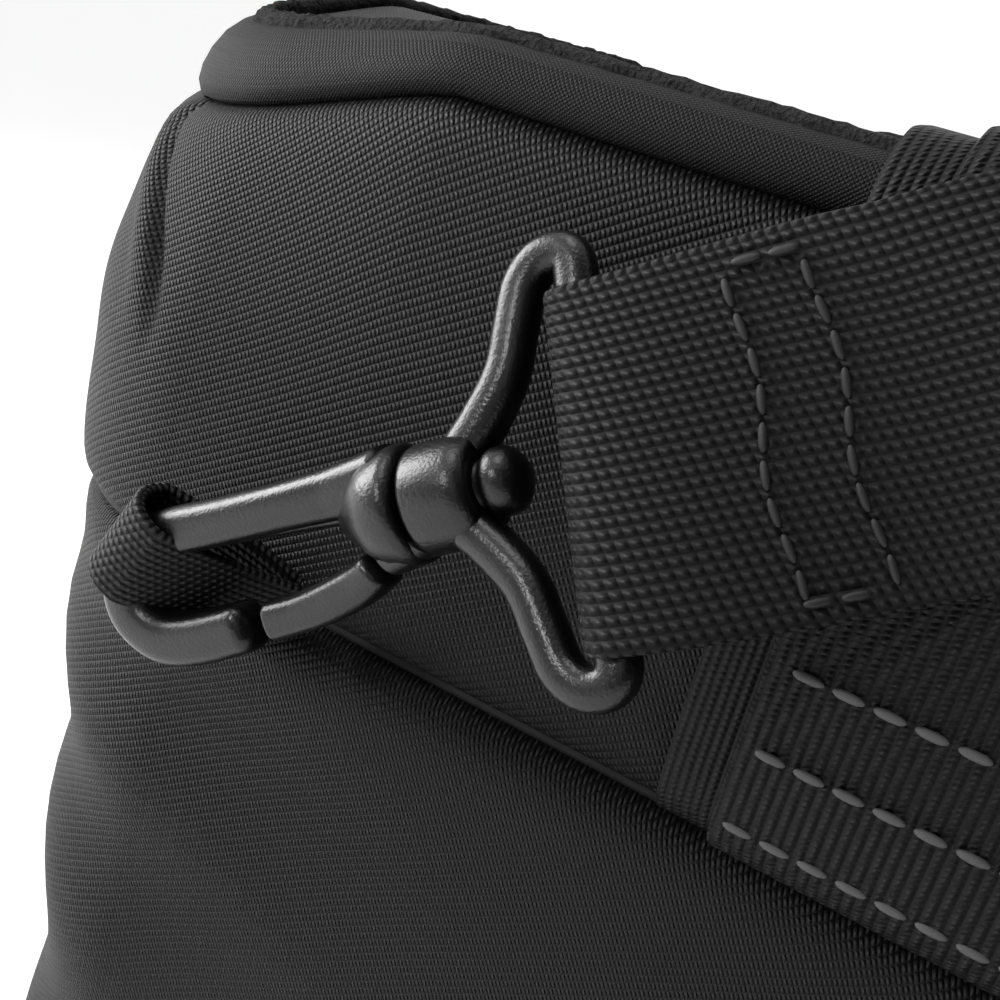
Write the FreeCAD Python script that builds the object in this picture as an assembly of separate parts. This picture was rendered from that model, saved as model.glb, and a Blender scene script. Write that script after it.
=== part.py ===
import FreeCAD, Part
import math
import os

V = FreeCAD.Vector
os.makedirs("parts", exist_ok=True)

# Driving dimensions, millimetres. X is the long side, front is -Y, Z is up, origin at the base's centre.
LENGTH = 640.0
DEPTH = 230.0
HEIGHT = 270.0
CORNER_R = 34.0
STUD_H = 5.0
SKIN = 1.2
FOAM = 12.0
GAP = 0.3
BELT_Z = 194.0
TOP_SEAM_Z = 262.0
PIPING_R = 2.0
BOARD = 4.0
WEBBING = 38.0
WEB_T = 1.8
BAND_X = 183.0
PATCH_W = 52.0
STRAP_ANGLE = 34.5
STRAP_ROLL = 20.0
STRAP_STAND_OFF = 13.0
BAR_U = 15.5
TWIST_STEPS = 8
TAIL_STEPS = 7
SWIVEL = (-236.0, 225.0)
COLLAR_R = 6.0
POST_R = 3.0
POST_HEAD_R = 4.2
POST_FIT = 0.06
BEND_R = 6.3
SHANK_V = 3.4
LOOP_ROD_R = 2.3
LOOP_HALF = 21.6
HOOK_ROD_R = 3.3
HOOK_REACH = 45.2
TAB_W = 16.0
TAB_T = 1.4
DOOR_MARGIN = 42.0
DOOR_LOW = 16.0
ZIP_W = 10.0
PAD_L = 230.0
PAD_W = 62.0
PAD_T = 9.0
HANDLE_SPAN = 190.0
HANDLE_RISE = 62.0
TUBE_R = 72.0
POCKET_W = 360.0
POCKET_LOW = 34.0
POCKET_HIGH = 166.0
POCKET_T = 13.0

FRONT = -DEPTH / 2
HALF = LENGTH / 2
WALL = SKIN + GAP
COS = math.cos(math.radians(STRAP_ANGLE))
SIN = math.sin(math.radians(STRAP_ANGLE))
ROLL_COS = math.cos(math.radians(STRAP_ROLL))
ROLL_SIN = math.sin(math.radians(STRAP_ROLL))
HOOK_Y = FRONT - STRAP_STAND_OFF
BASE_Z = STUD_H
LID_Z = HEIGHT - SKIN


def save(name, shape):
    """Write one sub-part; several bodies in it stay separate solids."""
    shape.exportStep("parts/" + name + ".step")


def box(x0, x1, y0, y1, z0, z1):
    return Part.makeBox(x1 - x0, y1 - y0, z1 - z0, V(x0, y0, z0))


def rod(start, end, radius):
    """Round bar between two points."""
    along = end - start
    return Part.makeCylinder(radius, along.Length, start, along)


def rounded_block(inset, z0, z1):
    """Upright block with the case's plan outline, drawn in by inset."""
    block = box(-HALF + inset, HALF - inset, FRONT + inset, -FRONT - inset, z0, z1)
    upright = [e for e in block.Edges if abs(e.Vertexes[0].Z - e.Vertexes[1].Z) > 0.5]
    return block.makeFillet(CORNER_R - inset, upright)


def wall_ring(inset, thickness, z0, z1):
    return rounded_block(inset, z0, z1).cut(rounded_block(inset + thickness, z0 - 1, z1 + 1))


def local(u, v, w=0.0):
    """Point in the front left hook's own plane: u along the strap, v across it, w out of the wall."""
    return V(SWIVEL[0] + u * COS - v * SIN, HOOK_Y - w, SWIVEL[1] + u * SIN + v * COS)


def strap_local(u, v, w=0.0):
    """The same plane rolled about the strap's own line, so that its upper edge leans to the wall."""
    across = v * ROLL_COS + w * ROLL_SIN
    x = SWIVEL[0] + u * COS - across * SIN
    return V(x, HOOK_Y + v * ROLL_SIN - w * ROLL_COS, SWIVEL[1] + u * SIN + across * COS)


def mirrored(shape):
    """The back right copy: half a turn about the case's upright middle line."""
    copy = shape.copy()
    copy.rotate(V(0, 0, 0), V(0, 0, 1), 180)
    return copy


def tube_path(points, radius):
    """Bar of one radius through points, with a ball at each turn so that it stays one solid."""
    shape = rod(points[0], points[1], radius)
    for start, end in zip(points[1:], points[2:]):
        shape = shape.fuse(rod(start, end, radius))
    for point in points[1:-1]:
        shape = shape.fuse(Part.makeSphere(radius, point))
    return shape


def offset_line(profile, distance):
    """The (y, z) profile moved to its left by distance, mitred at its points."""
    moved = []
    for i, (y, z) in enumerate(profile):
        before = profile[max(i - 1, 0)]
        after = profile[min(i + 1, len(profile) - 1)]
        runs = []
        for a, b in ((before, (y, z)), ((y, z), after)):
            span = math.hypot(b[0] - a[0], b[1] - a[1])
            if span > 0:
                runs.append(((b[0] - a[0]) / span, (b[1] - a[1]) / span))
        ny = -sum(r[1] for r in runs) / len(runs)
        nz = sum(r[0] for r in runs) / len(runs)
        size = ny * ny + nz * nz
        moved.append((y + distance * ny / size, z + distance * nz / size))
    return moved


def band_rings(profile, lean, width, thickness, x_start):
    """Corners of flat webbing at each profile point; its middle moves lean along X per millimetre."""
    outer = offset_line(profile, thickness)
    middle = [x_start]
    for a, b in zip(profile, profile[1:]):
        middle.append(middle[-1] + lean * math.dist(a, b))
    rings = []
    for x, inside, outside in zip(middle, profile, outer):
        near = [V(x - width / 2, *inside), V(x + width / 2, *inside)]
        rings.append(near + [V(x + width / 2, *outside), V(x - width / 2, *outside)])
    return rings


def skinned(rings):
    """Closed solid through four-cornered rings."""
    faces = []
    for ring in (rings[0], rings[-1]):
        faces.append(Part.Face(Part.makePolygon([ring[0], ring[1], ring[2], ring[0]])))
        faces.append(Part.Face(Part.makePolygon([ring[0], ring[2], ring[3], ring[0]])))
    for one, two in zip(rings, rings[1:]):
        for i in range(4):
            j = (i + 1) % 4
            faces.append(Part.Face(Part.makePolygon([one[i], one[j], two[j], one[i]])))
            faces.append(Part.Face(Part.makePolygon([one[i], two[j], two[i], one[i]])))
    shell = Part.makeShell(faces)
    shell.sewShape()
    solid = Part.makeSolid(shell)
    if solid.Volume < 0:
        solid.reverse()
    return solid


def over_the_top(stand_off, rise, edge_r, z_low):
    """Profile up the front, over the top and down the back, as (y, z) points."""
    front = []
    turns = 5
    centre = (FRONT - stand_off + edge_r, HEIGHT + rise - edge_r)
    front.append((FRONT - stand_off, z_low))
    for i in range(turns + 1):
        turn = math.radians(90.0 * i / turns)
        front.append((centre[0] - edge_r * math.cos(turn), centre[1] + edge_r * math.sin(turn)))
    back = [(-y, z) for y, z in reversed(front)]
    return front + back


# Outer fabric: firm upper wall, softer lower wall, top panel with its rounded border, and the bottom.
def shell_parts():
    door_hole = box(-HALF + DOOR_MARGIN, HALF - DOOR_MARGIN, 0, DEPTH, DOOR_LOW, BELT_Z - 6)
    save("upper_wall_fabric", wall_ring(0, SKIN, BELT_Z + 1.2, TOP_SEAM_Z - 1.2))
    save("lower_wall_fabric", wall_ring(0, SKIN, BASE_Z + SKIN, BELT_Z - 1.2).cut(door_hole))
    save("belt_welt", wall_ring(0.2, SKIN, BELT_Z - 0.9, BELT_Z + 0.9))
    save("top_seam_welt", wall_ring(0.2, SKIN, TOP_SEAM_Z - 0.9, TOP_SEAM_Z + 0.9))
    border = rounded_block(0.3, TOP_SEAM_Z + 1.2, LID_Z)
    rim = [e for e in border.Edges if min(v.Z for v in e.Vertexes) > LID_Z - 0.1]
    border = border.makeFillet(4.5, rim)
    inner = rounded_block(0.3 + SKIN, TOP_SEAM_Z, LID_Z - SKIN)
    save("top_panel_fabric", border.cut(inner))
    save("top_edge_felt", wall_ring(7.0, 3.0, LID_Z + 0.1, HEIGHT + 0.6))
    save("bottom_fabric", rounded_block(0, BASE_Z, BASE_Z + SKIN - 0.2))


# Foam walls that give the case its shape; each is a plain slab inside the fabric.
def foam_parts():
    low = BASE_Z + WALL + BOARD + GAP
    high = LID_Z - SKIN - GAP
    roof = high - FOAM
    inner = HALF - WALL - FOAM
    board = rounded_block(WALL, BASE_Z + WALL, BASE_Z + WALL + BOARD)
    save("base_board", board)
    block = rounded_block(WALL, low, roof - GAP)
    save("foam_front", block.common(box(-inner + GAP, inner - GAP, FRONT, FRONT + WALL + FOAM, 0, HEIGHT)))
    save("foam_left", block.common(box(-HALF, -inner, FRONT, -FRONT, 0, HEIGHT)))
    save("foam_right", block.common(box(inner, HALF, FRONT, -FRONT, 0, HEIGHT)))
    rail = block.common(box(-inner + GAP, inner - GAP, -FRONT - WALL - FOAM, -FRONT, BELT_Z - 4, HEIGHT))
    save("foam_back_rail", rail)
    posts = []
    for x0, x1 in ((-inner + GAP, -HALF + DOOR_MARGIN), (HALF - DOOR_MARGIN, inner - GAP)):
        posts.append(block.common(box(x0, x1, -FRONT - WALL - FOAM, -FRONT, low, BELT_Z - 4.5)))
    x1 = HALF - DOOR_MARGIN - GAP
    posts.append(box(-x1, x1, -FRONT - WALL - FOAM, -FRONT - WALL, low, DOOR_LOW))
    save("foam_back_posts", Part.makeCompound(posts))
    save("foam_top", rounded_block(WALL + 4.5, roof, high))
    return low, roof, inner


# Inside: thin lining, two saddles that carry the tube, a divider and two hold-down straps.
def inner_parts(low, roof, inner):
    x1 = inner - 0.6
    y0 = FRONT + WALL + FOAM + 0.6
    y1 = -FRONT - WALL - FOAM - 0.6
    shell = box(-x1, x1, y0, y1, low, roof - 0.6)
    hollow = box(-x1 + 0.8, x1 - 0.8, y0 + 0.8, y1 + 1, low + 0.8, roof - 1.4)
    save("inner_lining", shell.cut(hollow))
    centre_z = low + 1.2 + 20.0 + TUBE_R
    for side, x in (("left", -205.0), ("right", 60.0)):
        saddle = box(x, x + 45, y0 + 1.2, y1 - 1.2, low + 1.2, centre_z - 8)
        bed = Part.makeCylinder(TUBE_R, 60, V(x - 5, 0, centre_z), V(1, 0, 0))
        way_in = box(x - 1, x + 46, 14, y1, low + 1.2 + 24, HEIGHT)
        save("saddle_" + side, saddle.cut(bed).cut(way_in))
        ring = Part.makeCylinder(TUBE_R + 2.4, 26, V(x + 9.5, 0, centre_z), V(1, 0, 0))
        ring = ring.cut(Part.makeCylinder(TUBE_R + 0.6, 30, V(x + 7, 0, centre_z), V(1, 0, 0)))
        ring = ring.common(box(x, x + 45, y0, 20, centre_z - 7.4, HEIGHT))
        save("hold_down_strap_" + side, ring)
    save("divider", box(205, 211, y0 + 1.2, y1 - 1.2, low + 1.2, roof - 12))
    save("accessory_tray", box(214, x1 - 2, y0 + 2, y1 - 4, low + 1.2, low + 40).cut(
        box(218, x1 - 6, y0 + 6, y1 - 8, low + 5, low + 60)))


# Rear door: a foam leaf in its fabric, hinged along its lower edge and zipped on the other sides.
def door_parts():
    x1 = HALF - DOOR_MARGIN - ZIP_W - 1
    high = BELT_Z - 6 - ZIP_W - 1
    face = -FRONT
    save("door_fabric", box(-x1, x1, face - SKIN, face, DOOR_LOW + 1, high))
    save("door_foam", box(-x1 + 3, x1 - 3, face - WALL - FOAM + 2, face - WALL, DOOR_LOW + 4, high - 3))
    save("door_lining", box(-x1 + 2, x1 - 2, face - WALL - FOAM + 0.7, face - WALL - FOAM + 1.7,
                            DOOR_LOW + 3, high - 2))
    tape = box(-x1 - ZIP_W, x1 + ZIP_W, face - 1.0, face - 0.2, DOOR_LOW + 1, high + ZIP_W)
    save("door_zip_tape", tape.cut(box(-x1 - 0.5, x1 + 0.5, 0, DEPTH, 0, high + 0.5)))
    mid = ZIP_W / 2
    coil = box(-x1 - mid - 1.6, x1 + mid + 1.6, face, face + 1.6, DOOR_LOW + 1, high + mid + 1.6)
    save("door_zip_coil", coil.cut(box(-x1 - mid + 1.6, x1 + mid - 1.6, 0, DEPTH, 0, high + mid - 1.6)))
    save("door_hinge_tape", box(-x1, x1, face + 0.1, face + 0.8, DOOR_LOW - 8, DOOR_LOW - 1))
    return high + mid, face


def door_slider_parts(side, x, y, z):
    """Zip slider with its bridge, and the pull that hangs from a pin through the bridge."""
    back = y + 1.9
    body = box(x - 5, x + 5, back, back + 2.4, z - 3.6, z + 3.6)
    bridge = box(x - 1.2, x + 1.2, back + 2.4, back + 5.6, z - 3.4, z + 3.4)
    bridge = bridge.cut(box(x - 2, x + 2, back + 2.4, back + 4.5, z - 2.2, z + 2.2))
    save("door_slider_" + side, body.fuse(bridge))
    pin_y = back + 3.45
    pull = rod(V(x - 3.5, pin_y, z), V(x + 3.5, pin_y, z), 0.8)
    for x0 in (x - 3.5, x + 1.7):
        pull = pull.fuse(box(x0, x0 + 1.8, pin_y - 0.8, pin_y + 0.8, z - 6, z))
    pull = pull.fuse(box(x - 3.5, x + 3.5, pin_y - 0.9, pin_y + 0.9, z - 32, z - 5))
    save("door_pull_" + side, pull)


# Front pocket: a flat bellows on the lower wall, with its own zip across the top.
def pocket_parts():
    face = FRONT - 0.4
    body = box(-POCKET_W / 2, POCKET_W / 2, face - POCKET_T, face, POCKET_LOW, POCKET_HIGH)
    hollow = box(-POCKET_W / 2 + 2, POCKET_W / 2 - 2, face - POCKET_T + 2, face - 1.5,
                 POCKET_LOW + 2, POCKET_HIGH - 2)
    slit = box(-POCKET_W / 2 + 12, POCKET_W / 2 - 12, face - POCKET_T + 4, face - 4, POCKET_HIGH - 3, HEIGHT)
    save("front_pocket", body.cut(hollow).cut(slit))
    zip_y = face - POCKET_T / 2
    save("pocket_zip_coil", box(-POCKET_W / 2 + 14, POCKET_W / 2 - 14, zip_y - 1.6, zip_y + 1.6,
                                POCKET_HIGH - 1.6, POCKET_HIGH))
    x = -POCKET_W / 2 + 22
    top = POCKET_HIGH + 0.3
    slider = box(x - 5, x + 5, zip_y - 3.4, zip_y + 3.4, top, top + 2.2)
    bridge = box(x - 1.2, x + 1.2, zip_y - 3.2, zip_y + 3.2, top + 2.2, top + 5.4)
    bridge = bridge.cut(box(x - 2, x + 2, zip_y - 2.1, zip_y + 2.1, top + 2.2, top + 4.3))
    save("pocket_slider", slider.fuse(bridge))
    pin_z = top + 3.25
    pull = rod(V(x - 3.5, zip_y, pin_z), V(x + 3.5, zip_y, pin_z), 0.8)
    for x0 in (x - 3.5, x + 1.7):
        pull = pull.fuse(box(x0, x0 + 1.8, zip_y - 12.5, zip_y, pin_z - 0.8, pin_z + 0.8))
    pull = pull.fuse(box(x - 3.5, x + 3.5, zip_y - 12.5, zip_y - 10.7, pin_z - 30, pin_z + 0.8))
    save("pocket_pull", pull)


# Webbing bands that girdle the case over the top, on a wider patch, caught in the belt seam.
def band_parts():
    for side, sign in (("left", -1), ("right", 1)):
        under = over_the_top(0.4, 0.9, 6.0, BELT_Z + 1.5)
        patch = skinned(band_rings(under, 0.0, PATCH_W, 1.0, sign * BAND_X))
        save("band_patch_" + side, patch)
        upper = over_the_top(1.7, 2.2, 7.0, BELT_Z + 1.5)
        web = skinned(band_rings(upper, 0.0, WEBBING, WEB_T, sign * BAND_X))
        save("girth_band_" + side, web)


# Shoulder strap: straight up the front, over the top corner to corner, and down the back.
def strap_parts():
    profile = over_the_top(7.0, 6.4, 14.0, SWIVEL[1] + 27.0)
    low_z = profile[0][1]
    x_low = SWIVEL[0] + (low_z - SWIVEL[1]) * COS / SIN
    run = sum(math.dist(a, b) for a, b in zip(profile, profile[1:]))
    rings = band_rings(profile, -2 * x_low / run, WEBBING / SIN, WEB_T, x_low)
    reach = BAR_U + 4.9
    half = WEBBING / 2
    first = [strap_local(reach, half), strap_local(reach, -half)]
    first += [strap_local(reach, -half, WEB_T), strap_local(reach, half, WEB_T)]
    twist = [[a + (b - a) * (k / TWIST_STEPS) for a, b in zip(first, rings[0])] for k in range(TWIST_STEPS)]
    untwist = [[V(-p.x, -p.y, p.z) for p in (r[1], r[0], r[3], r[2])] for r in reversed(twist)]
    save("strap_webbing", skinned(twist + rings + untwist))
    for name, turn in (("front", False), ("back", True)):
        fold = strap_fold(twist[:TAIL_STEPS])
        save("strap_end_" + name, mirrored(fold) if turn else fold)


def strap_fold(lead):
    """Sewn-back end: closed round the loop's straight bar, with its tail behind the strap."""
    half = WEBBING / 2 - 0.5
    bore = LOOP_ROD_R + 0.35
    across = strap_local(0, 1) - strap_local(0, 0)
    start = strap_local(BAR_U, -half)
    rim = Part.makeCylinder(bore + WEB_T, 2 * half, start, across)
    rim = rim.cut(Part.makeCylinder(bore, 2 * half + 4, start - across * 2, across))
    near = V(0, GAP, 0)
    far = V(0, GAP + WEB_T, 0)
    tail = skinned([[r[0] + near, r[1] + near, r[1] + far, r[0] + far] for r in lead])
    return Part.makeCompound([rim, tail])


# Shoulder pad on the middle of the strap and the three-bar adjuster near its front end.
def pad_parts():
    z = HEIGHT + 6.4 + WEB_T + GAP
    pad = box(-PAD_L / 2, PAD_L / 2, -PAD_W / 2, PAD_W / 2, z, z + PAD_T)
    ends = [e for e in pad.Edges if abs(e.Vertexes[0].Z - e.Vertexes[1].Z) > 1]
    pad = pad.makeFillet(24.0, ends)
    pad.rotate(V(0, 0, 0), V(0, 0, 1), STRAP_ANGLE)
    save("shoulder_pad", pad)
    loops = None
    for u in (-78.0, 78.0):
        under = box(u - 9, u + 9, -WEBBING / 2 - 5, WEBBING / 2 + 5, z - WEB_T - 2.8, z - WEB_T - 1.2)
        for y in (-WEBBING / 2 - 5, WEBBING / 2 + 2.4):
            under = under.fuse(box(u - 9, u + 9, y, y + 2.6, z - WEB_T - 2.8, z - 0.2))
        loops = under if loops is None else loops.fuse(under)
    loops.rotate(V(0, 0, 0), V(0, 0, 1), STRAP_ANGLE)
    save("pad_keepers", Part.makeCompound(loops.Solids))
    frame_half = WEBBING / 2 + 5
    top = HEIGHT + 6.4 + WEB_T + 0.35
    plate = box(-12, 12, -frame_half, frame_half, top, top + 3.0)
    for x in (-8.5, 2.5):
        plate = plate.cut(box(x, x + 6, -WEBBING / 2 - 1, WEBBING / 2 + 1, top - 1, top + 6))
    plate.translate(V(-142, 0, 0))
    plate.rotate(V(0, 0, 0), V(0, 0, 1), STRAP_ANGLE)
    save("strap_adjuster", plate)


# Top carry handle: an arched webbing with a rolled grip, sewn down at both ends on the top panel.
def handle_parts():
    foot = HEIGHT + 1.0
    half = HANDLE_SPAN / 2
    side_y = WEBBING / 2 - 6
    crown = foot + HANDLE_RISE
    arc_top = [(-half, foot + 14.5), (-half + 6, foot + 36), (-half + 24, foot + 56), (-46, crown)]
    line = arc_top + [(-x, z) for x, z in reversed(arc_top)]
    low = [V(x, -side_y, z) for x, z in line]
    high = [V(x * 0.985, -side_y, z - 2.4) for x, z in line]
    high[0].z = high[-1].z = foot + 14.5
    face = Part.Face(Part.makePolygon(low + high[::-1] + low[:1]))
    save("top_handle", face.extrude(V(0, 2 * side_y, 0)))
    core = box(-50, 50, -side_y, side_y, crown - 2.7, crown + 0.3)
    wrap = box(-44, 44, -17, 17, crown - 7.4, crown + 5.0)
    wrap = wrap.makeFillet(5.6, [e for e in wrap.Edges if abs(e.Vertexes[0].X - e.Vertexes[1].X) > 1])
    save("handle_grip", wrap.cut(core))
    for side, sign in (("left", -1), ("right", 1)):
        x0, x1 = sorted((sign * (half - 1.4), sign * (half + 26)))
        plate = box(x0, x1, -side_y, side_y, foot, foot + 2.0)
        x0, x1 = sorted((sign * (half - 1.4), sign * half))
        save("handle_foot_" + side, plate.fuse(box(x0, x1, -side_y, side_y, foot, foot + 14.0)))


# Clip: tab in the belt seam, hook with its sprung gate, and the swivel loop that holds the strap.
def hook_path():
    """Middle line of the hook's bar: shank, half-round bend and tip."""
    centre_v = SHANK_V - BEND_R
    arc = []
    for i in range(9):
        turn = math.radians(90 + 180.0 * i / 8)
        arc.append(local(-HOOK_REACH + BEND_R * math.cos(turn), centre_v + BEND_R * math.sin(turn)))
    return [local(-11.0, SHANK_V)] + arc + [local(-34.0, centre_v - BEND_R)]


def clip_parts(place, shift):
    """One clip; shift moves a front left shape to its own corner."""
    bend = [(6.5, 4.5), (7.6, 12), (8.3, 18.4), (10.2, LOOP_HALF), (12.8, LOOP_HALF + 0.8), (BAR_U, LOOP_HALF)]
    loop = [strap_local(u, v) for u, v in bend + [(u, -v) for u, v in reversed(bend)]]
    ring = tube_path(loop, LOOP_ROD_R)
    ring = ring.fuse(rod(local(3.4, 0), local(8.8, 0), 4.6))
    ring = ring.fuse(rod(strap_local(6.5, -5), strap_local(6.5, 5), LOOP_ROD_R))
    ring = ring.fuse(rod(local(-7.5, 0), local(3.6, 0), POST_R)).fuse(rod(local(-9.0, 0), local(-7.4, 0), POST_HEAD_R))
    save("swivel_loop_" + place, shift(ring))
    hook = rod(local(-6, 0), local(3.0, 0), COLLAR_R)
    hook = hook.fuse(rod(local(-12.0, 0), local(-5.8, 0), COLLAR_R + 0.8))
    hook = hook.cut(rod(local(-7.2, 0), local(3.2, 0), POST_R + POST_FIT))
    hook = hook.cut(rod(local(-9.3, 0), local(-7.1, 0), POST_HEAD_R + GAP))
    path = hook_path()
    hook = hook.fuse(tube_path(path, HOOK_ROD_R)).fuse(Part.makeSphere(HOOK_ROD_R, path[-1]))
    save("snap_hook_" + place, shift(hook))
    gate_half = 2.5
    gate_line = [local(-15.2, -5.8), local(-21, -7.0), local(-28.6, -8.6)]
    gate = tube_path(gate_line, gate_half).fuse(Part.makeSphere(gate_half, gate_line[0]))
    save("hook_gate_" + place, shift(gate))


def tab_parts(place, shift):
    """Narrow webbing doubled round the hook's rod and caught in the belt seam."""
    centre = local(-HOOK_REACH + 2.0, SHANK_V)
    axis = local(1, 0.0) - local(0, 0)
    grip_r = HOOK_ROD_R + 0.5
    eye = Part.makeCylinder(grip_r + TAB_T, TAB_W, centre - axis * (TAB_W / 2), axis)
    outline = []
    root_x = -262.0
    inner = V(centre.x + 1.0, 0, centre.z - 2.0)
    for y, p in ((centre.y - grip_r - TAB_T, inner), (FRONT - 2.6, V(root_x, 0, BELT_Z + 2)),
                 (FRONT - 0.5, V(root_x, 0, BELT_Z + 2)), (centre.y + grip_r + TAB_T, inner)):
        outline.append(V(p.x, y, p.z))
    body = Part.Face(Part.makePolygon(outline + outline[:1])).extrude(axis * TAB_W)
    body.translate(axis * (-TAB_W / 2) * 0.9)
    shape = eye.fuse(body)
    bore = Part.makeCylinder(grip_r, 80, centre - axis * 40, axis)
    shape = shape.cut(bore).cut(tube_path(hook_path(), grip_r))
    shape = shape.common(box(-HALF, 0, FRONT - 60, FRONT - 0.4, BELT_Z - 12, HEIGHT))
    save("strap_tab_" + place, shift(shape))


# Four rubber studs under the base, on the stiff board's corners.
def stud_parts():
    studs = []
    for x in (-HALF + 45, 0, HALF - 45):
        for y in (FRONT + 40, -FRONT - 40):
            studs.append(Part.makeCone(9.0, 11.0, STUD_H - 0.05, V(x, y, 0)))
    save("base_studs", Part.makeCompound(studs))


shell_parts()
low, roof, inner = foam_parts()
inner_parts(low, roof, inner)
zip_z, back_face = door_parts()
for side, x in (("left", -12.0), ("right", 12.0)):
    door_slider_parts(side, x, back_face, zip_z)
pocket_parts()
band_parts()
strap_parts()
pad_parts()
handle_parts()
for place, shift in (("front", lambda s: s), ("back", mirrored)):
    clip_parts(place, shift)
    tab_parts(place, shift)
stud_parts()
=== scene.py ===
import math
import bmesh
import bpy
import numpy as np
from mathutils import Matrix, Vector


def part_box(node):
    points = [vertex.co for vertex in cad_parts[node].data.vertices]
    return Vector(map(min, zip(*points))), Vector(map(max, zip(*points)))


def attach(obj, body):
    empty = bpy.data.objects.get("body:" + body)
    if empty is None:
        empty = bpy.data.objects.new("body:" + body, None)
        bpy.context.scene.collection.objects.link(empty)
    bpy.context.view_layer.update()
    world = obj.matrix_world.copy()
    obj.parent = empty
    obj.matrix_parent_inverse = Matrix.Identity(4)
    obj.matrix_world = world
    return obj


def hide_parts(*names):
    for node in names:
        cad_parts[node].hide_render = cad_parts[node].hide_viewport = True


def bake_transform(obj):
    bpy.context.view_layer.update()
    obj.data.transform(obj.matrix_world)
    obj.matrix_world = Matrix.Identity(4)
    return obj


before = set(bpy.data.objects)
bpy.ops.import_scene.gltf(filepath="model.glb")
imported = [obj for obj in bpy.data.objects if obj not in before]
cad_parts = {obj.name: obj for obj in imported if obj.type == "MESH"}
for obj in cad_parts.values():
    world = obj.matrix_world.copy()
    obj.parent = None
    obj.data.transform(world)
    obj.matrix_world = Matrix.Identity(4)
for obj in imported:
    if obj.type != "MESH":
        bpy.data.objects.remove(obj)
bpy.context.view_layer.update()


def in_scene(name, data):
    """A new object that shows the data."""
    made = bpy.data.objects.new(name, data)
    bpy.context.scene.collection.objects.link(made)
    return made


# The view: low in front of the left corner, close to the clip and level with the top panel.
# The lens, place and turn are one camera's; the near clip is short because it stands so close.
EYE = Vector((-0.1796, -0.2447, 0.2710))
AZIMUTH, PITCH, ROLL = (math.radians(a) for a in (24.18, 19.56, 15.65))
level = Vector((math.cos(AZIMUTH), math.sin(AZIMUTH), 0))
ahead = Vector((-math.sin(AZIMUTH), math.cos(AZIMUTH), 0))
forward = ahead * math.cos(PITCH) - Vector((0, 0, math.sin(PITCH)))
above = level.cross(forward)
right = math.cos(ROLL) * level + math.sin(ROLL) * above
upward = math.cos(ROLL) * above - math.sin(ROLL) * level
camera = in_scene("camera", bpy.data.cameras.new("camera"))
camera.matrix_world = Matrix.Translation(EYE) @ Matrix((right, upward, -forward)).transposed().to_4x4()
camera.data.lens = 46.8
camera.data.sensor_width = 36.0
camera.data.clip_start = 0.004
bpy.context.scene.camera = camera

# Studio: a pale floor and sky, a broad light from the left that rims the corner, and a weak fill.
# Every light is soft, so that the black cloth shows its weave and the moulded parts a long glint.
bpy.context.scene.view_settings.view_transform = "Standard"
world = bpy.data.worlds.new("studio")
bpy.context.scene.world = world
world.use_nodes = True
sky = world.node_tree
facing = sky.nodes.new("ShaderNodeTexCoord")
split = sky.nodes.new("ShaderNodeVectorMath")
split.operation = "DOT_PRODUCT"
split.inputs[1].default_value = (-0.72, 0.62, 0.30)
ramp = sky.nodes.new("ShaderNodeMapRange")
for key, value in (("From Min", -0.35), ("From Max", 0.45), ("To Min", 0.05), ("To Max", 1.05)):
    ramp.inputs[key].default_value = value
sky.links.new(facing.outputs["Generated"], split.inputs[0])
sky.links.new(split.outputs["Value"], ramp.inputs["Value"])
sky.links.new(ramp.outputs["Result"], sky.nodes["Background"].inputs["Strength"])
sky.nodes["Background"].inputs["Color"].default_value = (1, 1, 1, 1)
floor_mesh = bpy.data.meshes.new("floor")
floor_mesh.from_pydata([(-30, -30, 0), (30, -30, 0), (30, 30, 0), (-30, 30, 0)], [], [(0, 1, 2, 3)])
floor = in_scene("floor", floor_mesh)
pale = bpy.data.materials.new("floor_pale")
pale.use_nodes = True
for key, value in (("Base Color", (0.85, 0.85, 0.85, 1)), ("Roughness", 0.9),
                   ("Emission Color", (1, 1, 1, 1)), ("Emission Strength", 0.35)):
    pale.node_tree.nodes["Principled BSDF"].inputs[key].default_value = value
floor_mesh.materials.append(pale)
for name, place, aim, size, power in (
        ("key", (-1.25, -0.25, 0.45), (-0.28, -0.10, 0.2), 0.6, 13.0),
        ("front_fill", (0.2, -1.5, 1.0), (-0.2, 0, 0.2), 1.0, 1.6),
        ("over", (-0.6, -0.3, 1.3), (-0.25, -0.1, 0.25), 0.5, 3.0),
        ("glint", (-0.55, -0.80, 0.62), (-0.25, -0.13, 0.22), 0.10, 2.2)):
    lamp = in_scene(name, bpy.data.lights.new(name, "AREA"))
    lamp.data.size = size
    lamp.data.energy = power
    lamp.location = place
    lamp.rotation_euler = (Vector(aim) - Vector(place)).to_track_quat("-Z", "Y").to_euler()


# Cloth: black woven nylon. A firm weave with staggered floats on the walls, each float a small
# rounded bump over gaps; the colour is painted lighter on the float tops (painted highlight) and darker
# in the gaps (painted shade). The cloth reads the piece's own UV map in metres.
class Wire:
    """A node socket that Python's operators turn into Math nodes."""

    def __init__(self, paint, socket):
        self.paint = paint
        self.socket = socket

    def join(self, kind, *others):
        return self.paint.node("ShaderNodeMath", {"operation": kind}, [self, *others])

    def __add__(self, other):
        return self.join("ADD", other)

    def __sub__(self, other):
        return self.join("SUBTRACT", other)

    def __rsub__(self, other):
        return self.paint.node("ShaderNodeMath", {"operation": "SUBTRACT"}, [other, self])

    def __mul__(self, other):
        return self.join("MULTIPLY", other)

    def __truediv__(self, other):
        return self.join("DIVIDE", other)

    def __pow__(self, other):
        return self.join("POWER", other)

    __radd__ = __add__
    __rmul__ = __mul__

    def cos(self):
        return self.join("COSINE")

    def over(self, low):
        return self.join("MAXIMUM", low)

    def under(self, high):
        return self.join("MINIMUM", high)


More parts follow.
